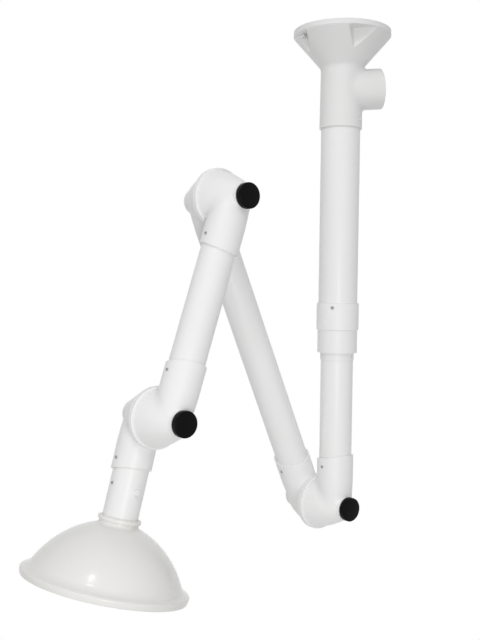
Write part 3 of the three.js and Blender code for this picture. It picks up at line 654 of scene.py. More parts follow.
def bracket_bore():
    wide = COLUMN_RADIUS + FIT_GAP
    low = -BRACKET_END - OVERRUN
    return solid([
        (0, -TOP_PLATE, 0), (COLUMN_BORE, -TOP_PLATE, 0), (COLUMN_BORE, -COLUMN_TOP, 0),
        (wide, -COLUMN_TOP, 0), (wide, low, 0), (0, low, 0),
    ])


def funnel_inside_drop(radius):
    outside = FLANGE_EDGE + (FLANGE_RADIUS - radius) * FUNNEL_SLOPE
    return outside - BRACKET_WALL * math.hypot(1, FUNNEL_SLOPE)


def notch_block(turn):
    start = POCKET_CORNER - 2 * BRACKET_WALL
    length = FLANGE_RADIUS - start
    width = 2 * (HOLLOW_OUTER - POCKET_CORNER) * POCKET_OPEN + 4 * BRACKET_WALL
    return placed(block(length, width, 2 * FUNNEL_BOTTOM), shifted(start + length / 2), spun(turn, "Z"))


def bracket_hollow():
    ring = turned([
        (HOLLOW_INNER, OVERRUN, 0), (HOLLOW_OUTER, OVERRUN, 0),
        (HOLLOW_OUTER, -funnel_inside_drop(HOLLOW_OUTER), 0),
        (HOLLOW_INNER, -funnel_inside_drop(HOLLOW_INNER), 0),
    ])
    return carved(ring, *[notch_block(turn) for turn in POCKET_TURNS])


def bolt_hole(turn):
    hole = bar(BOLT_RADIUS + FIT_GAP, -2 * FLANGE_EDGE, OVERRUN, SMALL_STEPS)
    return placed(hole, shifted(BOLT_CIRCLE), spun(turn, "Z"))


print("hollow is", round(funnel_inside_drop(HOLLOW_INNER), 1), "deep beside the bore")

# %% [markdown]
# The order of the work matters. The inside corners are found before the remesh forgets them.
# Then the whole body is evened a little, its corners are smoothed, and the corners where the
# stub leaves the neck are smoothed once more. Trims make the three ends flat, the flange is
# joined on, and the spaces are cut last, so that their edges stay sharp.

# %% The whole bracket
DOWN = (0.0, 0.0, -1.0)
SPIGOT_RADIUS = 46.0
SPIGOT_BORE = 43.0
SPIGOT_TOP = 60.0
SPIGOT_ROUNDING = 0.8
BRACKET_END_ROUNDING = 2.0
BODY_TOP = 0.5
BODY_TOP_ROUNDING = 0.2
BRACKET_VOXEL = 1.6
EVEN_ROUNDS = 3
SEAM_REACH = 12.0
SEAM_ROUNDS = 40
BRANCH_REACH = 10.0
BRANCH_ROUNDS = 60


def ceiling_bracket():
    body = joined(funnel(), along_spigot(SPIGOT_RADIUS))
    seam = inside_corners(body)
    branch = [point for point in seam if point.z < -FUNNEL_BOTTOM - FIT_GAP]
    body = carved(body, *[notch(turn) for turn in POCKET_TURNS])
    body = remeshed(body, BRACKET_VOXEL)
    softened(body, body.verts, EVEN_ROUNDS)
    softened(body, near(body, seam, SEAM_REACH), SEAM_ROUNDS)
    softened(body, near(body, branch, BRANCH_REACH), BRANCH_ROUNDS)
    spigot_end = SPIGOT_PLACE @ Vector((SPIGOT_REACH, 0, 0))
    spigot_way = SPIGOT_PLACE.to_3x3() @ Vector((1, 0, 0))
    trimmed(body, spigot_end, spigot_way, SPIGOT_ROUNDING, -SPIGOT_TOP)
    trimmed(body, (0, 0, -BRACKET_END), DOWN, BRACKET_END_ROUNDING)
    trimmed(body, (0, 0, -BODY_TOP), UP, BODY_TOP_ROUNDING)
    body = joined(body, ceiling_flange())
    return carved(body, bracket_bore(), along_spigot(SPIGOT_BORE), bracket_hollow(),
                  *[bolt_hole(turn) for turn in POCKET_TURNS])


piece("bracket", ceiling_bracket(), bracket_shaded_white, "ceiling_bracket")

# %% [markdown]
# Each ceiling bolt has a hexagon head with the usual chamfer. A bevel would cut the flat sides
# too, so the hexagon is cut by a turned shape instead. The shank ends at the ceiling face. The
# first notch holds no bolt.

# %% Ceiling bolts
BOLT_TURNS = POCKET_TURNS[1:]
BOLT_ACROSS = 15.0
BOLT_SIDES = 6
BOLT_HEAD = 6.0
BOLT_CHAMFER = 1.2
BOLT_SEAT = FLANGE_EDGE + FIT_GAP
CEILING_GAP = 0.3


def ceiling_bolt(turn):
    corner = BOLT_ACROSS / math.sqrt(3)
    flat = BOLT_ACROSS / 2
    low = -BOLT_SEAT - BOLT_HEAD
    hexagon = bar(corner, low, -BOLT_SEAT, BOLT_SIDES)
    crown = solid([
        (0, low, 0), (flat, low, 0), (corner, low + BOLT_CHAMFER, 0), (corner, -BOLT_SEAT, 0),
        (0, -BOLT_SEAT, 0),
    ], SMALL_STEPS)
    head = combined(hexagon, "INTERSECT", crown)
    shank = bar(BOLT_RADIUS, low + BOLT_HEAD / 2, -CEILING_GAP, SMALL_STEPS)
    return placed(joined(head, shank), shifted(BOLT_CIRCLE), spun(turn, "Z"))


for number, turn in enumerate(BOLT_TURNS, 1):
    piece(f"bolt_{number}", ceiling_bolt(turn), steel, f"ceiling_bolt_{number}")

# %% [markdown]
# Tubes are plain sleeves, so all their character is in the finish and in the small rounding of
# the cut ends, which catches a line of light. The arms lie in front of the joints' plane or
# behind it, as each elbow's halves do.

# %% Tubes
ARM_RADIUS = 37.5
ARM_BORE = 35.0
TUBE_ROUNDING = 0.5
SOCKET_STOP = 60.0
TUBE_START = SOCKET_STOP + FIT_GAP
DROP_LENGTH = 640.0
COLUMN_BOTTOM = 685.1
HOOD_TUBE_END = 240.0
DUCT_OFFSET = lower_centre.y
FRONT = shifted(y=-DUCT_OFFSET)
REAR = shifted(y=DUCT_OFFSET)


def tube(outer, inner, start, end):
    return turned([
        (outer, start, TUBE_ROUNDING), (outer, end, TUBE_ROUNDING),
        (inner, end, TUBE_ROUNDING), (inner, start, TUBE_ROUNDING),
    ])


def arm_tube(end):
    return tube(ARM_RADIUS, ARM_BORE, TUBE_START, end)


column = tube(COLUMN_RADIUS, COLUMN_BORE, -COLUMN_BOTTOM, -COLUMN_TOP - FIT_GAP)
piece("column", column, tube_white["column"], "column_tube")
piece("drop", arm_tube(TUBE_START + DROP_LENGTH), tube_white["column"], "drop_tube",
      drop_frame @ FRONT)
piece("lower_arm", arm_tube(lower_length - TUBE_START), tube_white["lower"],
      "lower_arm_tube", lower_frame @ REAR)
piece("upper_arm", arm_tube(upper_length - TUBE_START), tube_white["upper"],
      "upper_arm_tube", upper_frame @ FRONT)
piece("hood_arm", arm_tube(HOOD_TUBE_END), tube_white["hood"], "hood_tube",
      hood_frame @ REAR)

# %% [markdown]
# The telescope collar grips the column and holds the bush that guides the inner tube. It is a
# turned sleeve with a short slope at its shoulder, and its clamp screw sits in a small
# counterbore.

# %% Telescope collar
COLLAR_RADIUS = 48.8
COLLAR_TOP = 622.4
COLLAR_SHOULDER = 685.4
COLLAR_SLOPE = 1.5
COLLAR_BOTTOM = 737.4
COLLAR_LOWER_RADIUS = 46.0
COLLAR_BORE = COLUMN_RADIUS + FIT_GAP
COLLAR_LOWER_BORE = 42.2
COLLAR_LIP = 7.5
COLLAR_LIP_BORE = 39.7
COLLAR_TOP_ROUNDING = 1.4
COLLAR_SHOULDER_ROUNDING = 1.0
COLLAR_LOWER_ROUNDING = 0.6
BORE_ROUNDING = 0.3
COLLAR_SCREW_DROP = COLLAR_TOP + 10.5
COLLAR_SCREW_TURN = math.radians(-149.5)
COUNTERBORE_RADIUS = 4.4
COUNTERBORE_DEPTH = 1.7


def telescope_collar():
    lip_top = -COLLAR_BOTTOM + COLLAR_LIP
    sleeve = turned([
        (COLLAR_RADIUS, -COLLAR_TOP, COLLAR_TOP_ROUNDING),
        (COLLAR_RADIUS, -COLLAR_SHOULDER + COLLAR_SLOPE, COLLAR_SHOULDER_ROUNDING),
        (COLLAR_LOWER_RADIUS, -COLLAR_SHOULDER, COLLAR_LOWER_ROUNDING),
        (COLLAR_LOWER_RADIUS, -COLLAR_BOTTOM, COLLAR_LOWER_ROUNDING),
        (COLLAR_LIP_BORE, -COLLAR_BOTTOM, BORE_ROUNDING), (COLLAR_LIP_BORE, lip_top, 0),
        (COLLAR_LOWER_BORE, lip_top, 0), (COLLAR_LOWER_BORE, -COLLAR_SHOULDER, 0),
        (COLLAR_BORE, -COLLAR_SHOULDER, 0), (COLLAR_BORE, -COLLAR_TOP, BORE_ROUNDING),
    ])
    floor = COLLAR_RADIUS - COUNTERBORE_DEPTH
    counterbore = bar(COUNTERBORE_RADIUS, floor, COLLAR_RADIUS + OVERRUN, SMALL_STEPS)
    place = shifted(z=-COLLAR_SCREW_DROP) @ spun(COLLAR_SCREW_TURN, "Z") @ ALONG_PLUS_X
    return carved(sleeve, placed(counterbore, place))


piece("collar", telescope_collar(), moulded_white, "telescope_collar")

# %% [markdown]
# The inner tube slides and turns in the guide bush. Most of the bush is hidden in the collar.
# Its neck shows below, slit into spring fingers, and the slits are blocks cut through the wall.

# %% Guide bush
BUSH_RADIUS = 41.5
BUSH_NECK_RADIUS = 39.0
BUSH_BORE = 37.8
BUSH_BOTTOM = COLLAR_BOTTOM + 17.0
BUSH_TOP_ROUNDING = 0.5
BUSH_NECK_ROUNDING = 0.6
BUSH_SLIT = 2.4
BUSH_SLIT_SHARE = 0.6
BUSH_SLIT_COUNT = 3
BUSH_SLIT_FIRST = -75
BUSH_SLIT_STEP = 120
BUSH_SLIT_TURNS = [math.radians(BUSH_SLIT_FIRST + BUSH_SLIT_STEP * i) for i in range(BUSH_SLIT_COUNT)]


def guide_bush():
    top = COLLAR_SHOULDER + FIT_GAP
    seat = COLLAR_BOTTOM - COLLAR_LIP - FIT_GAP
    sleeve = turned([
        (BUSH_RADIUS, -top, BUSH_TOP_ROUNDING), (BUSH_RADIUS, -seat, 0), (BUSH_NECK_RADIUS, -seat, 0),
        (BUSH_NECK_RADIUS, -BUSH_BOTTOM, BUSH_NECK_ROUNDING), (BUSH_BORE, -BUSH_BOTTOM, BORE_ROUNDING),
        (BUSH_BORE, -top, 0),
    ])
    length = BUSH_BOTTOM - COLLAR_BOTTOM
    middle = shifted(BUSH_NECK_RADIUS, 0, -COLLAR_BOTTOM - length / 2)
    size = (2 * BUSH_SLIT, BUSH_SLIT, length * BUSH_SLIT_SHARE)
    slits = [placed(block(*size), middle, spun(turn, "Z")) for turn in BUSH_SLIT_TURNS]
    return carved(sleeve, *slits)


piece("bush", guide_bush(), moulded_white, "guide_bush")

# %% [markdown]
# The cones of the elbows and the dome of the hood bulge a little. A circle through the two ends
# of such a side is known once its bulge is known, so the radius is worked out from that. The
# corners along it carry no rounding and go straight into the outline of a turned shape.

# %% Shallow arcs
ARC_STEPS = 14


def arc(start, end, bulge, steps=ARC_STEPS):
    """Corners along a shallow arc that stands out from the chord by bulge."""
    first, last = Vector(start), Vector(end)
    chord = (last - first).length
    outwards = Vector((first.y - last.y, last.x - first.x)) / chord
    if outwards.x < 0:
        outwards.negate()
    radius = (chord * chord / 4 + bulge * bulge) / (2 * bulge)
    half = math.asin(chord / (2 * radius))
    corners = []
    for i in range(steps + 1):
        angle = half * (2 * i / steps - 1)
        along = 1 / 2 + radius * math.sin(angle) / chord
        rise = radius * math.cos(angle) - (radius - bulge)
        corner = first.lerp(last, along) + outwards * rise
        corners.append((corner.x, corner.y, 0))
    return corners


print("arcs have", ARC_STEPS, "steps")

# %% [markdown]
# A half elbow is a shallow cone about the joint's axis that flows into a round limb with the
# tube's socket. Round its flange runs a lip, and a boss carries the clamp. Each of these is
# turned about its own axis, and they sink into each other a little so that the joins are clean.

# %% Outer forms of a half elbow
ALONG_MINUS_Y = spun(math.pi / 2, "X")
SOCKET_RADIUS = 42.0
SOCKET_REACH = 116.0
LIMB_RADIUS = 39.5
LIP_RADIUS = 65.5
LIP_FACE = 0.35
LIP_BACK = 6.5
LIP_FACE_ROUNDING = 0.5
LIP_BACK_ROUNDING = 1.6
CONE_RADIUS = 61.0
CONE_END = 84.25
CONE_BULGE = 3.0
BOSS_RADIUS = 28.0
BOSS_FACE = 91.25
BOSS_ROUNDING = 1.0
CHAMBER_FLOOR = 77.25
ELBOW_WALL = 4.5
SINK = 1.0


def elbow_cone():
    start = LIP_FACE + SINK
    end = BOSS_FACE - SINK
    return placed(solid([
        (0, start, 0), (CONE_RADIUS, start, 0),
        *arc((CONE_RADIUS, LIP_BACK), (BOSS_RADIUS, CONE_END), CONE_BULGE),
        (BOSS_RADIUS, end, 0), (0, end, 0),
    ]), ALONG_MINUS_Y)


def elbow_limb():
    end = SOCKET_REACH + SOCKET_RADIUS
    return placed(solid([
        (0, 0, 0), (LIMB_RADIUS, 0, 0), (SOCKET_RADIUS, SOCKET_STOP, 0),
        (SOCKET_RADIUS, end, 0), (0, end, 0),
    ]), FRONT)


def elbow_lip():
    inner = CONE_RADIUS - ELBOW_WALL
    return placed(turned([
        (inner, LIP_FACE, 0), (LIP_RADIUS, LIP_FACE, LIP_FACE_ROUNDING),
        (LIP_RADIUS, LIP_BACK, LIP_BACK_ROUNDING), (inner, LIP_BACK, 0),
    ]), ALONG_MINUS_Y)


def elbow_boss():
    inside = CHAMBER_FLOOR + SINK
    return placed(solid([
        (0, inside, 0), (BOSS_RADIUS, inside, 0), (BOSS_RADIUS, BOSS_FACE, BOSS_ROUNDING),
        (0, BOSS_FACE, 0),
    ]), ALONG_MINUS_Y)


print("elbow flange", 2 * LIP_RADIUS, "wide, boss", 2 * BOSS_RADIUS)

# %% [markdown]
# Inside, a chamber follows the cone at the distance of a wall, with a seat for the friction ring
# at its mouth. A stepped bore takes the tube, and a hole takes the rod of the clamp. In a rear
# half the nut of the rod has its seat too.

# %% Spaces in a half elbow
SOCKET_BORE = ARM_RADIUS + FIT_GAP
RING_SEAT_RADIUS = 63.3
RING_SEAT = 1.3
BORE_START = 14.0
ROD_HOLE_RADIUS = 4.7
NUT_SEAT_RADIUS = 9.4
NUT_SEAT_DEPTH = 9.0


def elbow_chamber():
    mouth = (CONE_RADIUS - ELBOW_WALL, RING_SEAT)
    floor = (BOSS_RADIUS - ELBOW_WALL, CHAMBER_FLOOR)
    return placed(solid([
        (0, -OVERRUN, 0), (RING_SEAT_RADIUS, -OVERRUN, 0), (RING_SEAT_RADIUS, RING_SEAT, 0),
        *arc(mouth, floor, CONE_BULGE), (0, CHAMBER_FLOOR, 0),
    ]), ALONG_MINUS_Y)


def elbow_bore():
    end = SOCKET_REACH + 2 * SOCKET_RADIUS
    return placed(solid([
        (0, BORE_START, 0), (ARM_BORE, BORE_START, 0), (ARM_BORE, SOCKET_STOP, 0),
        (SOCKET_BORE, SOCKET_STOP, 0), (SOCKET_BORE, end, 0), (0, end, 0),
    ]), FRONT)


def rod_hole():
    return placed(bar(ROD_HOLE_RADIUS, 0, BOSS_FACE + OVERRUN, SMALL_STEPS), ALONG_MINUS_Y)


def nut_seat():
    seat = bar(NUT_SEAT_RADIUS, BOSS_FACE - NUT_SEAT_DEPTH, BOSS_FACE + OVERRUN, SMALL_STEPS)
    return placed(seat, ALONG_MINUS_Y)


print("socket", 2 * SOCKET_BORE, "wide, rod hole", 2 * ROD_HOLE_RADIUS)

# %% [markdown]
# The cone and the limb are joined, remeshed and softened until the crotch between them is a wide
# fillet, as on the real moulding. A bevel along that seam would give a narrow even band instead.
# The rim, the lip and the boss stay crisp, so they come after, and the spaces are cut last. One
# mesh serves all the front halves, and the same with a seat for its nut all the rear ones.

# %% The two halves
RIM_SLANT = math.radians(11)
RIM_ROUNDING = 1.0
ELBOW_VOXEL = 1.5
ELBOW_FIRST_ROUNDS = 8
FILLET_REACH = 18.0
FILLET_ROUNDS = 140
ELBOW_LAST_ROUNDS = 4


def off_the_boss(point):
    return math.hypot(point.x, point.z) > BOSS_RADIUS + SINK or point.y > -CONE_END + SINK


def half_elbow():
    body = joined(elbow_cone(), elbow_limb())
    crotch = [point for point in inside_corners(body) if off_the_boss(point)]
    body = remeshed(body, ELBOW_VOXEL)
    softened(body, body.verts, ELBOW_FIRST_ROUNDS)
    softened(body, near(body, crotch, FILLET_REACH), FILLET_ROUNDS)
    softened(body, body.verts, ELBOW_LAST_ROUNDS)
    rim_way = (0, math.sin(RIM_SLANT), math.cos(RIM_SLANT))
    trimmed(body, (0, -DUCT_OFFSET, SOCKET_REACH), rim_way, RIM_ROUNDING)
    body = joined(body, elbow_lip(), elbow_boss())
    return carved(body, elbow_chamber(), elbow_bore(), rod_hole())


front_half = half_elbow()
rear_half = carved(front_half.copy(), nut_seat())
print("half elbows have", len(front_half.faces), "and", len(rear_half.faces), "faces")

# %% [markdown]
# Three elbows take six halves. A front half points its limb along the arm that it holds. A rear
# half is turned back about its own limb first, so that the two flanges lie face to face.

# %% Halves on the arm
HALF_TURN = math.pi
TURNED_BACK = spun(HALF_TURN, "Z")
front_places = {
    "lower_elbow": drop_frame,
    "upper_elbow": upper_frame,
    "hood_elbow": limb_frame(hood_centre, upper_lean + HALF_TURN),
}
rear_places = {
    "lower_elbow": lower_frame @ TURNED_BACK,
    "upper_elbow": limb_frame(upper_centre, lower_lean + HALF_TURN) @ TURNED_BACK,
    "hood_elbow": hood_frame @ TURNED_BACK,
}
for elbow, place in front_places.items():
    piece(f"{elbow}_front_half", front_half.copy(), moulded_white,
          f"{elbow}_front", place)
for elbow, place in rear_places.items():
    piece(f"{elbow}_rear_half", rear_half.copy(), moulded_white,
          f"{elbow}_rear", place)
front_half.free()
rear_half.free()

# %% [markdown]
# Each elbow is clamped by a rod from a cap at the back to a black knob in front. The knob is a
# plain thick disc with a well rounded front edge and a pocket for its nut. A nylon washer lies
# under it on the boss.

# %% Clamp knobs and washers
KNOB_RADIUS = 27.25
KNOB_BACK = 93.05
KNOB_FRONT = 106.85
KNOB_BACK_ROUNDING = 1.0
KNOB_FRONT_ROUNDING = 3.4
KNOB_POCKET_RADIUS = 8.2
KNOB_POCKET_END = 101.8
WASHER_RADIUS = 12.0
WASHER_THICKNESS = 1.2
WASHER_ROUNDING = 0.3
WASHER_BACK = BOSS_FACE + FIT_GAP
WASHER_FRONT = WASHER_BACK + WASHER_THICKNESS


def clamp_knob():
    return placed(turned([
        (KNOB_POCKET_RADIUS, KNOB_BACK, 0), (KNOB_RADIUS, KNOB_BACK, KNOB_BACK_ROUNDING),
        (KNOB_RADIUS, KNOB_FRONT, KNOB_FRONT_ROUNDING), (0, KNOB_FRONT, 0), (0, KNOB_POCKET_END, 0),
        (KNOB_POCKET_RADIUS, KNOB_POCKET_END, 0),
    ]), ALONG_MINUS_Y)


def thrust_washer():
    return placed(turned([
        (WASHER_RADIUS, WASHER_BACK, WASHER_ROUNDING), (WASHER_RADIUS, WASHER_FRONT, WASHER_ROUNDING),
        (ROD_HOLE_RADIUS, WASHER_FRONT, 0), (ROD_HOLE_RADIUS, WASHER_BACK, 0),
    ]), ALONG_MINUS_Y)


print("knob", 2 * KNOB_RADIUS, "wide")

# %% [markdown]
# At the back, a white cap with a thin-walled plug closes the seat of the rod's nut. Between the
# two flanges lies a rubber ring, which seals the joint and gives it its friction.

# %% Caps and friction rings
CAP_RADIUS = 24.0
CAP_THICKNESS = 3.5
CAP_BACK = BOSS_FACE + FIT_GAP
CAP_FRONT = CAP_BACK + CAP_THICKNESS
CAP_BACK_ROUNDING = 0.4
CAP_FRONT_ROUNDING = 2.2
CAP_PLUG = 8.9
CAP_PLUG_BORE = 7.9
CAP_PLUG_END = CAP_BACK - 5.0
RING_OUTER = 62.5
RING_INNER = 56.5
RING_HALF = 1.0
RING_ROUNDING = 0.4


def rear_cap():
    return placed(solid([
        (0, CAP_BACK, 0), (CAP_PLUG_BORE, CAP_BACK, 0), (CAP_PLUG_BORE, CAP_PLUG_END, 0),
        (CAP_PLUG, CAP_PLUG_END, 0), (CAP_PLUG, CAP_BACK, 0), (CAP_RADIUS, CAP_BACK, CAP_BACK_ROUNDING),
        (CAP_RADIUS, CAP_FRONT, CAP_FRONT_ROUNDING), (0, CAP_FRONT, 0),
    ]), ALONG_MINUS_Y)


def friction_ring():
    return placed(turned([
        (RING_OUTER, -RING_HALF, RING_ROUNDING), (RING_OUTER, RING_HALF, RING_ROUNDING),
        (RING_INNER, RING_HALF, RING_ROUNDING), (RING_INNER, -RING_HALF, RING_ROUNDING),
    ]), ALONG_MINUS_Y)


print("cap", 2 * CAP_RADIUS, "wide, friction ring", 2 * RING_OUTER)

# %% [markdown]
# Every elbow gets one of each. The rods and nuts are out of sight, so their solids stay, and only
# get the steel.

# %% Clamps on the elbows
HIDDEN_STEEL = ("rod", "rod_nut", "knob_nut")
for elbow in front_places:
    front, rear = front_places[elbow], rear_places[elbow]
    piece(f"{elbow}_clamp_knob", clamp_knob(), knob_black, f"{elbow}_knob", front)
    piece(f"{elbow}_thrust_washer", thrust_washer(), nylon, f"{elbow}_washer", front)
    piece(f"{elbow}_rear_cap", rear_cap(), moulded_white, f"{elbow}_cap", rear)
    piece(f"{elbow}_friction_ring", friction_ring(), rubber, f"{elbow}_ring", rear)
    for hidden in HIDDEN_STEEL:
        solid_mesh = frame["nodes"][f"{elbow}_{hidden}"].data
        solid_mesh.materials.clear()
        solid_mesh.materials.append(steel)

# %% [markdown]
# The small screws that pin the tubes in their sockets are pan heads with a cross recess. Each one
# is turned about Z, laid along X, and put at its height on the wall of its tube. Two blocks cut
# the recess.

# %% Small screws
SCREW_RADIUS = 1.5
SCREW_HEAD_RADIUS = 3.25
SCREW_HEAD = 1.8
SCREW_TIP_ROUNDING = 0.5
SCREW_SEAT_ROUNDING = 0.2
SCREW_TOP_ROUNDING = 1.3
CROSS_WIDTH = 0.9
CROSS_LENGTH = 3.6
CROSS_DEPTH = 1.0
CROSS_SLOTS = ((CROSS_LENGTH, CROSS_WIDTH), (CROSS_WIDTH, CROSS_LENGTH))


def wall_screw(wall, tip):
    head = wall + FIT_GAP
    top = head + SCREW_HEAD
    screw = solid([
        (0, tip, 0), (SCREW_RADIUS, tip, SCREW_TIP_ROUNDING), (SCREW_RADIUS, head, 0),
        (SCREW_HEAD_RADIUS, head, SCREW_SEAT_ROUNDING), (SCREW_HEAD_RADIUS, top, SCREW_TOP_ROUNDING),
        (0, top, 0),
    ], SMALL_STEPS)
    slots = [placed(block(*size, 2 * CROSS_DEPTH), shifted(z=top)) for size in CROSS_SLOTS]
    return placed(carved(screw, *slots), ALONG_PLUS_X)


print("screw heads", 2 * SCREW_HEAD_RADIUS, "wide")

# %% [markdown]
# Every half elbow has one such screw at the side of its socket. One more holds the column in the
# bracket, one the collar on the column, and one sits on the hood's tube, just above the damper.

# %% Screws in the walls
SCREW_POKE = 1.0
ARM_SCREW_TIP = ARM_BORE - SCREW_POKE
COLUMN_SCREW_TIP = COLUMN_BORE - SCREW_POKE
SOCKET_SCREW_REACH = 96.0
COLUMN_SCREW_DROP = BRACKET_END - 18.5
COLUMN_SCREW_TURN = math.radians(-74.5)
DAMPER_REACH = (damper_centre - hood_centre).dot(hood_frame.to_3x3() @ Vector(UP))
HOOD_TUBE_SCREW_REACH = DAMPER_REACH - 9.5
FRONT_SIDES = {"lower_elbow": -1, "upper_elbow": 1, "hood_elbow": -1}
REAR_SIDES = {"lower_elbow": 1, "upper_elbow": 1, "hood_elbow": -1}


def on_side(side):
    return spun(0 if side > 0 else HALF_TURN, "Z")


def socket_screw(side):
    screw = wall_screw(SOCKET_RADIUS, ARM_SCREW_TIP)
    return placed(screw, on_side(side), shifted(z=SOCKET_SCREW_REACH), FRONT)


for elbow in front_places:
    piece(f"{elbow}_front_pin", socket_screw(FRONT_SIDES[elbow]), zinc,
          f"{elbow}_front_screw", front_places[elbow])
    piece(f"{elbow}_rear_pin", socket_screw(REAR_SIDES[elbow]), zinc,
          f"{elbow}_rear_screw", rear_places[elbow])
piece("column_pin", wall_screw(BRACKET_END_RADIUS, COLUMN_SCREW_TIP), steel, "column_screw",
      shifted(z=-COLUMN_SCREW_DROP) @ spun(COLUMN_SCREW_TURN, "Z"))
piece("collar_pin", wall_screw(COLLAR_RADIUS - COUNTERBORE_DEPTH, COLUMN_SCREW_TIP), zinc,
      "collar_screw", shifted(z=-COLLAR_SCREW_DROP) @ spun(COLLAR_SCREW_TURN, "Z"))
piece("hood_tube_pin", wall_screw(ARM_RADIUS, ARM_SCREW_TIP), zinc, "hood_tube_screw",
      hood_frame @ REAR @ shifted(z=HOOD_TUBE_SCREW_REACH))

# %% [markdown]
# The hood is one turned shell: a short neck that flares into the dome, a narrow brim and a
# rolled lip. Its outline runs down the outside, round the lip and back up the inside. Corners of
# the dome that lie too near the brim's rounding are left out, so that the rounding has room.

# %% Hood shell
NECK_OUTER = 41.8
NECK_START = 214.0
NECK_TOP_ROUNDING = 0.8
NECK_FOOT_ROUNDING = 2.0
DOME_START = 232.0
DOME_FOOT = 336.0
DOME_TOP_RADIUS = 44.8
DOME_FOOT_RADIUS = 159.5
DOME_BULGE = 16.0
DOME_STEPS = 28
BRIM = 344.0
BRIM_ROUNDING = 9.0
BRIM_CLEAR = 1.2 * BRIM_ROUNDING
BRIM_INSIDE_ROUNDING = 1.5
RIM_RADIUS = 176.5
RIM_END = 357.0
RIM_TAPER = 2.5
RIM_TOP_ROUNDING = 3.2
RIM_OUTER_ROUNDING = 1.4
RIM_INNER_ROUNDING = 1.2
HOOD_WALL = 3.0
HOOD_STEPS = 240
TUBE_STOP = HOOD_TUBE_END + FIT_GAP
TUBE_STOP_ROUNDING = 0.6


def hood_shell():
    dome = arc((DOME_TOP_RADIUS, DOME_START), (DOME_FOOT_RADIUS, DOME_FOOT), DOME_BULGE, DOME_STEPS)
    foot = (DOME_FOOT_RADIUS, DOME_FOOT, BRIM_ROUNDING)
    outside = [corner for corner in dome if math.dist(corner[:2], foot[:2]) > BRIM_CLEAR]
    inside_top = (NECK_OUTER, DOME_START + HOOD_WALL)
    inside_foot = (DOME_FOOT_RADIUS - HOOD_WALL, DOME_FOOT + HOOD_WALL)
    inside = arc(inside_top, inside_foot, DOME_BULGE, DOME_STEPS)[::-1]
    rim_low = RIM_RADIUS - RIM_TAPER
    rim_inside = rim_low - HOOD_WALL
    stop_low = TUBE_STOP + HOOD_WALL
    return turned([
        (NECK_OUTER, NECK_START, NECK_TOP_ROUNDING),
        (NECK_OUTER, DOME_START - HOOD_WALL, NECK_FOOT_ROUNDING),
        *outside, foot,
        (RIM_RADIUS, BRIM, RIM_TOP_ROUNDING), (rim_low, RIM_END, RIM_OUTER_ROUNDING),
        (rim_inside, RIM_END, RIM_INNER_ROUNDING), (rim_inside, BRIM + HOOD_WALL, BRIM_INSIDE_ROUNDING),
        *inside,
        (NECK_OUTER, stop_low, TUBE_STOP_ROUNDING), (ARM_BORE, stop_low, TUBE_STOP_ROUNDING),
        (ARM_BORE, TUBE_STOP, 0), (SOCKET_BORE, TUBE_STOP, 0),
        (SOCKET_BORE, NECK_START, TUBE_STOP_ROUNDING),
    ], HOOD_STEPS)


print("hood", 2 * RIM_RADIUS, "wide")

# %% [markdown]
# Two pairs of slits make spring fingers in the neck. They are thin blocks cut through the wall,
# one pair at the front and one at the back. A round bead, the snap ring, holds the fingers on
# the tube.

# %% Neck slits and snap ring
SLIT_WIDTH = 1.6
SLIT_SPACING = 8.0
SLIT_LENGTH = 18.0
SLIT_OVERRUN = 1.0
SLIT_TURN = math.radians(18)
SNAP_INNER = NECK_OUTER + FIT_GAP
SNAP_OUTER = 45.3
SNAP_START = 215.5
SNAP_END = 223.5
SNAP_INNER_ROUNDING = 0.3
SNAP_OUTER_ROUNDING = 1.5


def hood_slits():
    middle = NECK_START - SLIT_OVERRUN + SLIT_LENGTH / 2
    slits = []
    for face in (-1, 1):
        for edge in (-1, 1):
            slit = block(SLIT_WIDTH, NECK_OUTER, SLIT_LENGTH)
            place = shifted(edge * SLIT_SPACING / 2, face * NECK_OUTER, middle)
            slits.append(placed(slit, place, spun(-SLIT_TURN, "Z")))
    return slits


def snap_ring():
    return turned([
        (SNAP_INNER, SNAP_START, SNAP_INNER_ROUNDING), (SNAP_OUTER, SNAP_START, SNAP_OUTER_ROUNDING),
        (SNAP_OUTER, SNAP_END, SNAP_OUTER_ROUNDING), (SNAP_INNER, SNAP_END, SNAP_INNER_ROUNDING),
    ])


dome = carved(hood_shell(), *hood_slits())
piece("hood_dome", dome, hood_white, "hood", hood_frame @ REAR)
piece("hood_ring", snap_ring(), hood_white, "hood_snap_ring", hood_frame @ REAR)

# %% [markdown]
# The damper is a round flap on a shaft across the hood tube, standing open. A white button on
# the knob side turns it, and a ring keeps the shaft's other end. The flap and its hub are joined
# before the shaft's hole is cut through both.

# %% Damper
FLAP_RADIUS = 34.0
FLAP_HALF = 1.5
FLAP_ROUNDING = 1.0
SHAFT_RADIUS = 3.0
SHAFT_HOLE = SHAFT_RADIUS + FIT_GAP
HUB_RADIUS = 5.5
HUB_HALF = FLAP_RADIUS - HUB_RADIUS
TUBE_FACE = ARM_RADIUS + FIT_GAP
BUTTON_RADIUS = 7.0
BUTTON_FRONT = TUBE_FACE + 5.0
BUTTON_BORE = TUBE_FACE + 3.0
BUTTON_BACK_ROUNDING = 0.3
BUTTON_FRONT_ROUNDING = 1.4
RETAINER_RADIUS = 6.0
RETAINER_END = TUBE_FACE + 2.5
RETAINER_ROUNDING = 0.4
damper_frame = hood_frame @ REAR @ shifted(z=DAMPER_REACH)


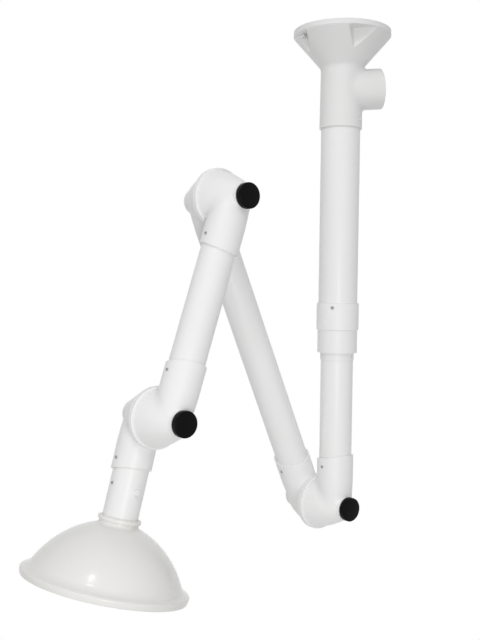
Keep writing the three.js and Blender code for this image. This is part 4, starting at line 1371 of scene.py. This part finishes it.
def damper_flap():
    flap = solid([
        (0, -FLAP_HALF, 0), (FLAP_RADIUS, -FLAP_HALF, FLAP_ROUNDING),
        (FLAP_RADIUS, FLAP_HALF, FLAP_ROUNDING), (0, FLAP_HALF, 0),
    ])
    hub = bar(HUB_RADIUS, -HUB_HALF, HUB_HALF, SMALL_STEPS)
    hole = bar(SHAFT_HOLE, -ARM_RADIUS, ARM_RADIUS, SMALL_STEPS)
    whole = joined(placed(flap, ALONG_PLUS_X), placed(hub, ALONG_MINUS_Y))
    return carved(whole, placed(hole, ALONG_MINUS_Y))


def damper_shaft():
    shaft = bar(SHAFT_RADIUS, -RETAINER_END - FIT_GAP, BUTTON_BORE - FIT_GAP, SMALL_STEPS)
    return placed(shaft, ALONG_MINUS_Y)


def damper_button():
    return placed(turned([
        (SHAFT_HOLE, TUBE_FACE, 0), (BUTTON_RADIUS, TUBE_FACE, BUTTON_BACK_ROUNDING),
        (BUTTON_RADIUS, BUTTON_FRONT, BUTTON_FRONT_ROUNDING),
        (0, BUTTON_FRONT, 0), (0, BUTTON_BORE, 0), (SHAFT_HOLE, BUTTON_BORE, 0),
    ], SMALL_STEPS), ALONG_MINUS_Y)


def damper_retainer():
    return placed(turned([
        (SHAFT_HOLE, -TUBE_FACE, 0), (RETAINER_RADIUS, -TUBE_FACE, RETAINER_ROUNDING),
        (RETAINER_RADIUS, -RETAINER_END, RETAINER_ROUNDING), (SHAFT_HOLE, -RETAINER_END, 0),
    ], SMALL_STEPS), ALONG_MINUS_Y)


piece("flap", damper_flap(), moulded_white, "damper_disc", damper_frame)
piece("flap_shaft", damper_shaft(), steel, "damper_shaft", damper_frame)
piece("flap_button", damper_button(), moulded_white, "damper_button", damper_frame)
piece("flap_retainer", damper_retainer(), steel, "damper_retainer", damper_frame)

# %% [markdown]
# The background is a plain white world. Light Path tells the world which rays ask: the camera,
# reflections and glass see white. All other rays get a weaker light that grows towards the
# ceiling and towards the viewer, as in a room with a pale ceiling.

# %% World
WHITE = (1.0, 1.0, 1.0, 1.0)
SKY_ALL = 0.25
SKY_ABOVE = 0.38
SKY_NEAR = 0.43
NEAR_SIDE = (-0.707, -0.707, 0.0)


def seen_directly(tree):
    paths = [Wire.node(tree, "ShaderNodeLightPath", output=name)
             for name in ("Is Camera Ray", "Is Glossy Ray", "Is Transmission Ray")]
    return paths[0].most(paths[1]).most(paths[2])


def facing(tree, direction, side):
    along = Wire.node(tree, "ShaderNodeVectorMath", {"operation": "DOT_PRODUCT"},
                      {0: direction, 1: side}, output="Value")
    return along.most(0.0)


def soft_sky(tree):
    direction = Wire.node(tree, "ShaderNodeTexCoord", output="Generated")
    from_above = SKY_ABOVE * facing(tree, direction, UP)
    from_near = SKY_NEAR * facing(tree, direction, NEAR_SIDE)
    return SKY_ALL + from_above + from_near


def make_world():
    world = bpy.data.worlds.new("white studio")
    world.use_nodes = True
    tree = world.node_tree
    tree.nodes.clear()
    seen = seen_directly(tree)
    strength = seen + (1.0 - seen) * soft_sky(tree)
    background = Wire.node(tree, "ShaderNodeBackground", None, {"Color": WHITE, "Strength": strength})
    Wire.node(tree, "ShaderNodeOutputWorld", None, {"Surface": background})
    bpy.context.scene.world = world
    return world


print("world", make_world().name)

# %% [markdown]
# Far below, a pale floor catches the arm's shadow. To the camera and to reflections it mostly
# glows white, so it melts into the background, and its matt share still darkens under the arm.

# %% Floor
FLOOR_HEIGHT = -2.3
FLOOR_RADIUS = 1.5
FLOOR_SIDES = 96
FLOOR_GREY = (0.86, 0.86, 0.86, 1.0)
FLOOR_GLOW = 0.7


def make_floor():
    bm = bmesh.new()
    bmesh.ops.create_circle(bm, cap_ends=True, segments=FLOOR_SIDES, radius=FLOOR_RADIUS)
    bmesh.ops.translate(bm, verts=bm.verts, vec=(0, 0, FLOOR_HEIGHT))
    floor = shown(bm, "floor")
    material, tree = new_material("floor")
    matt = Wire.node(tree, "ShaderNodeBsdfDiffuse", None, {"Color": FLOOR_GREY})
    glow = Wire.node(tree, "ShaderNodeEmission", None, {"Color": WHITE, "Strength": 1.0})
    share = FLOOR_GLOW * seen_directly(tree)
    mixed = Wire.node(tree, "ShaderNodeMixShader", None, {0: share, 1: matt, 2: glow})
    Wire.node(tree, "ShaderNodeOutputMaterial", None, {"Surface": mixed})
    floor.data.materials.append(material)


make_floor()
print("floor at", FLOOR_HEIGHT)

# %% [markdown]
# Four lamps shape the arm. A tall narrow one below the camera lights what faces the viewer, so
# that round forms darken towards their edges, and draws a thin line of light on the tubes. A
# small one high up gives the dome its highlight, and a weak one fills in from the left. The last
# one is wide and stands behind the arm, so that its back is as bright as its front. Neither the
# camera nor a reflection sees that one, because it would draw bright lines along the outlines.

# %% Lamps
KEY_PLACE = (-1.60, -0.90, 1.20)
KEY_TARGET = (-0.35, 0.05, -0.80)
KEY_SIZE = (0.25, 0.25)
KEY_POWER = 7.0
FRONT_PLACE = (-1.35, -1.58, -1.00)
FRONT_TARGET = (-0.25, 0.05, -0.75)
FRONT_SIZE = (0.3, 0.8)
FRONT_POWER = 9.0
LEFT_PLACE = (-2.20, 0.20, -0.60)
LEFT_SIZE = (0.6, 0.6)
LEFT_POWER = 0.4
BACK_PLACE = (0.95, 1.60, -0.75)
BACK_SIZE = (1.0, 1.0)
BACK_POWER = 11.0


def area_lamp(name, place, target, size, power):
    data = bpy.data.lights.new(name, "AREA")
    data.shape = "RECTANGLE"
    data.size, data.size_y = size
    data.energy = power
    lamp = bpy.data.objects.new(name, data)
    lamp.location = place
    lamp.rotation_euler = (Vector(target) - Vector(place)).to_track_quat("-Z", "Y").to_euler()
    bpy.context.scene.collection.objects.link(lamp)
    return lamp


area_lamp("key", KEY_PLACE, KEY_TARGET, KEY_SIZE, KEY_POWER)
area_lamp("front", FRONT_PLACE, FRONT_TARGET, FRONT_SIZE, FRONT_POWER)
area_lamp("left", LEFT_PLACE, FRONT_TARGET, LEFT_SIZE, LEFT_POWER)
back_lamp = area_lamp("back", BACK_PLACE, FRONT_TARGET, BACK_SIZE, BACK_POWER)
back_lamp.visible_camera = False
back_lamp.visible_glossy = False
print("lamps", [light.name for light in bpy.data.lights])
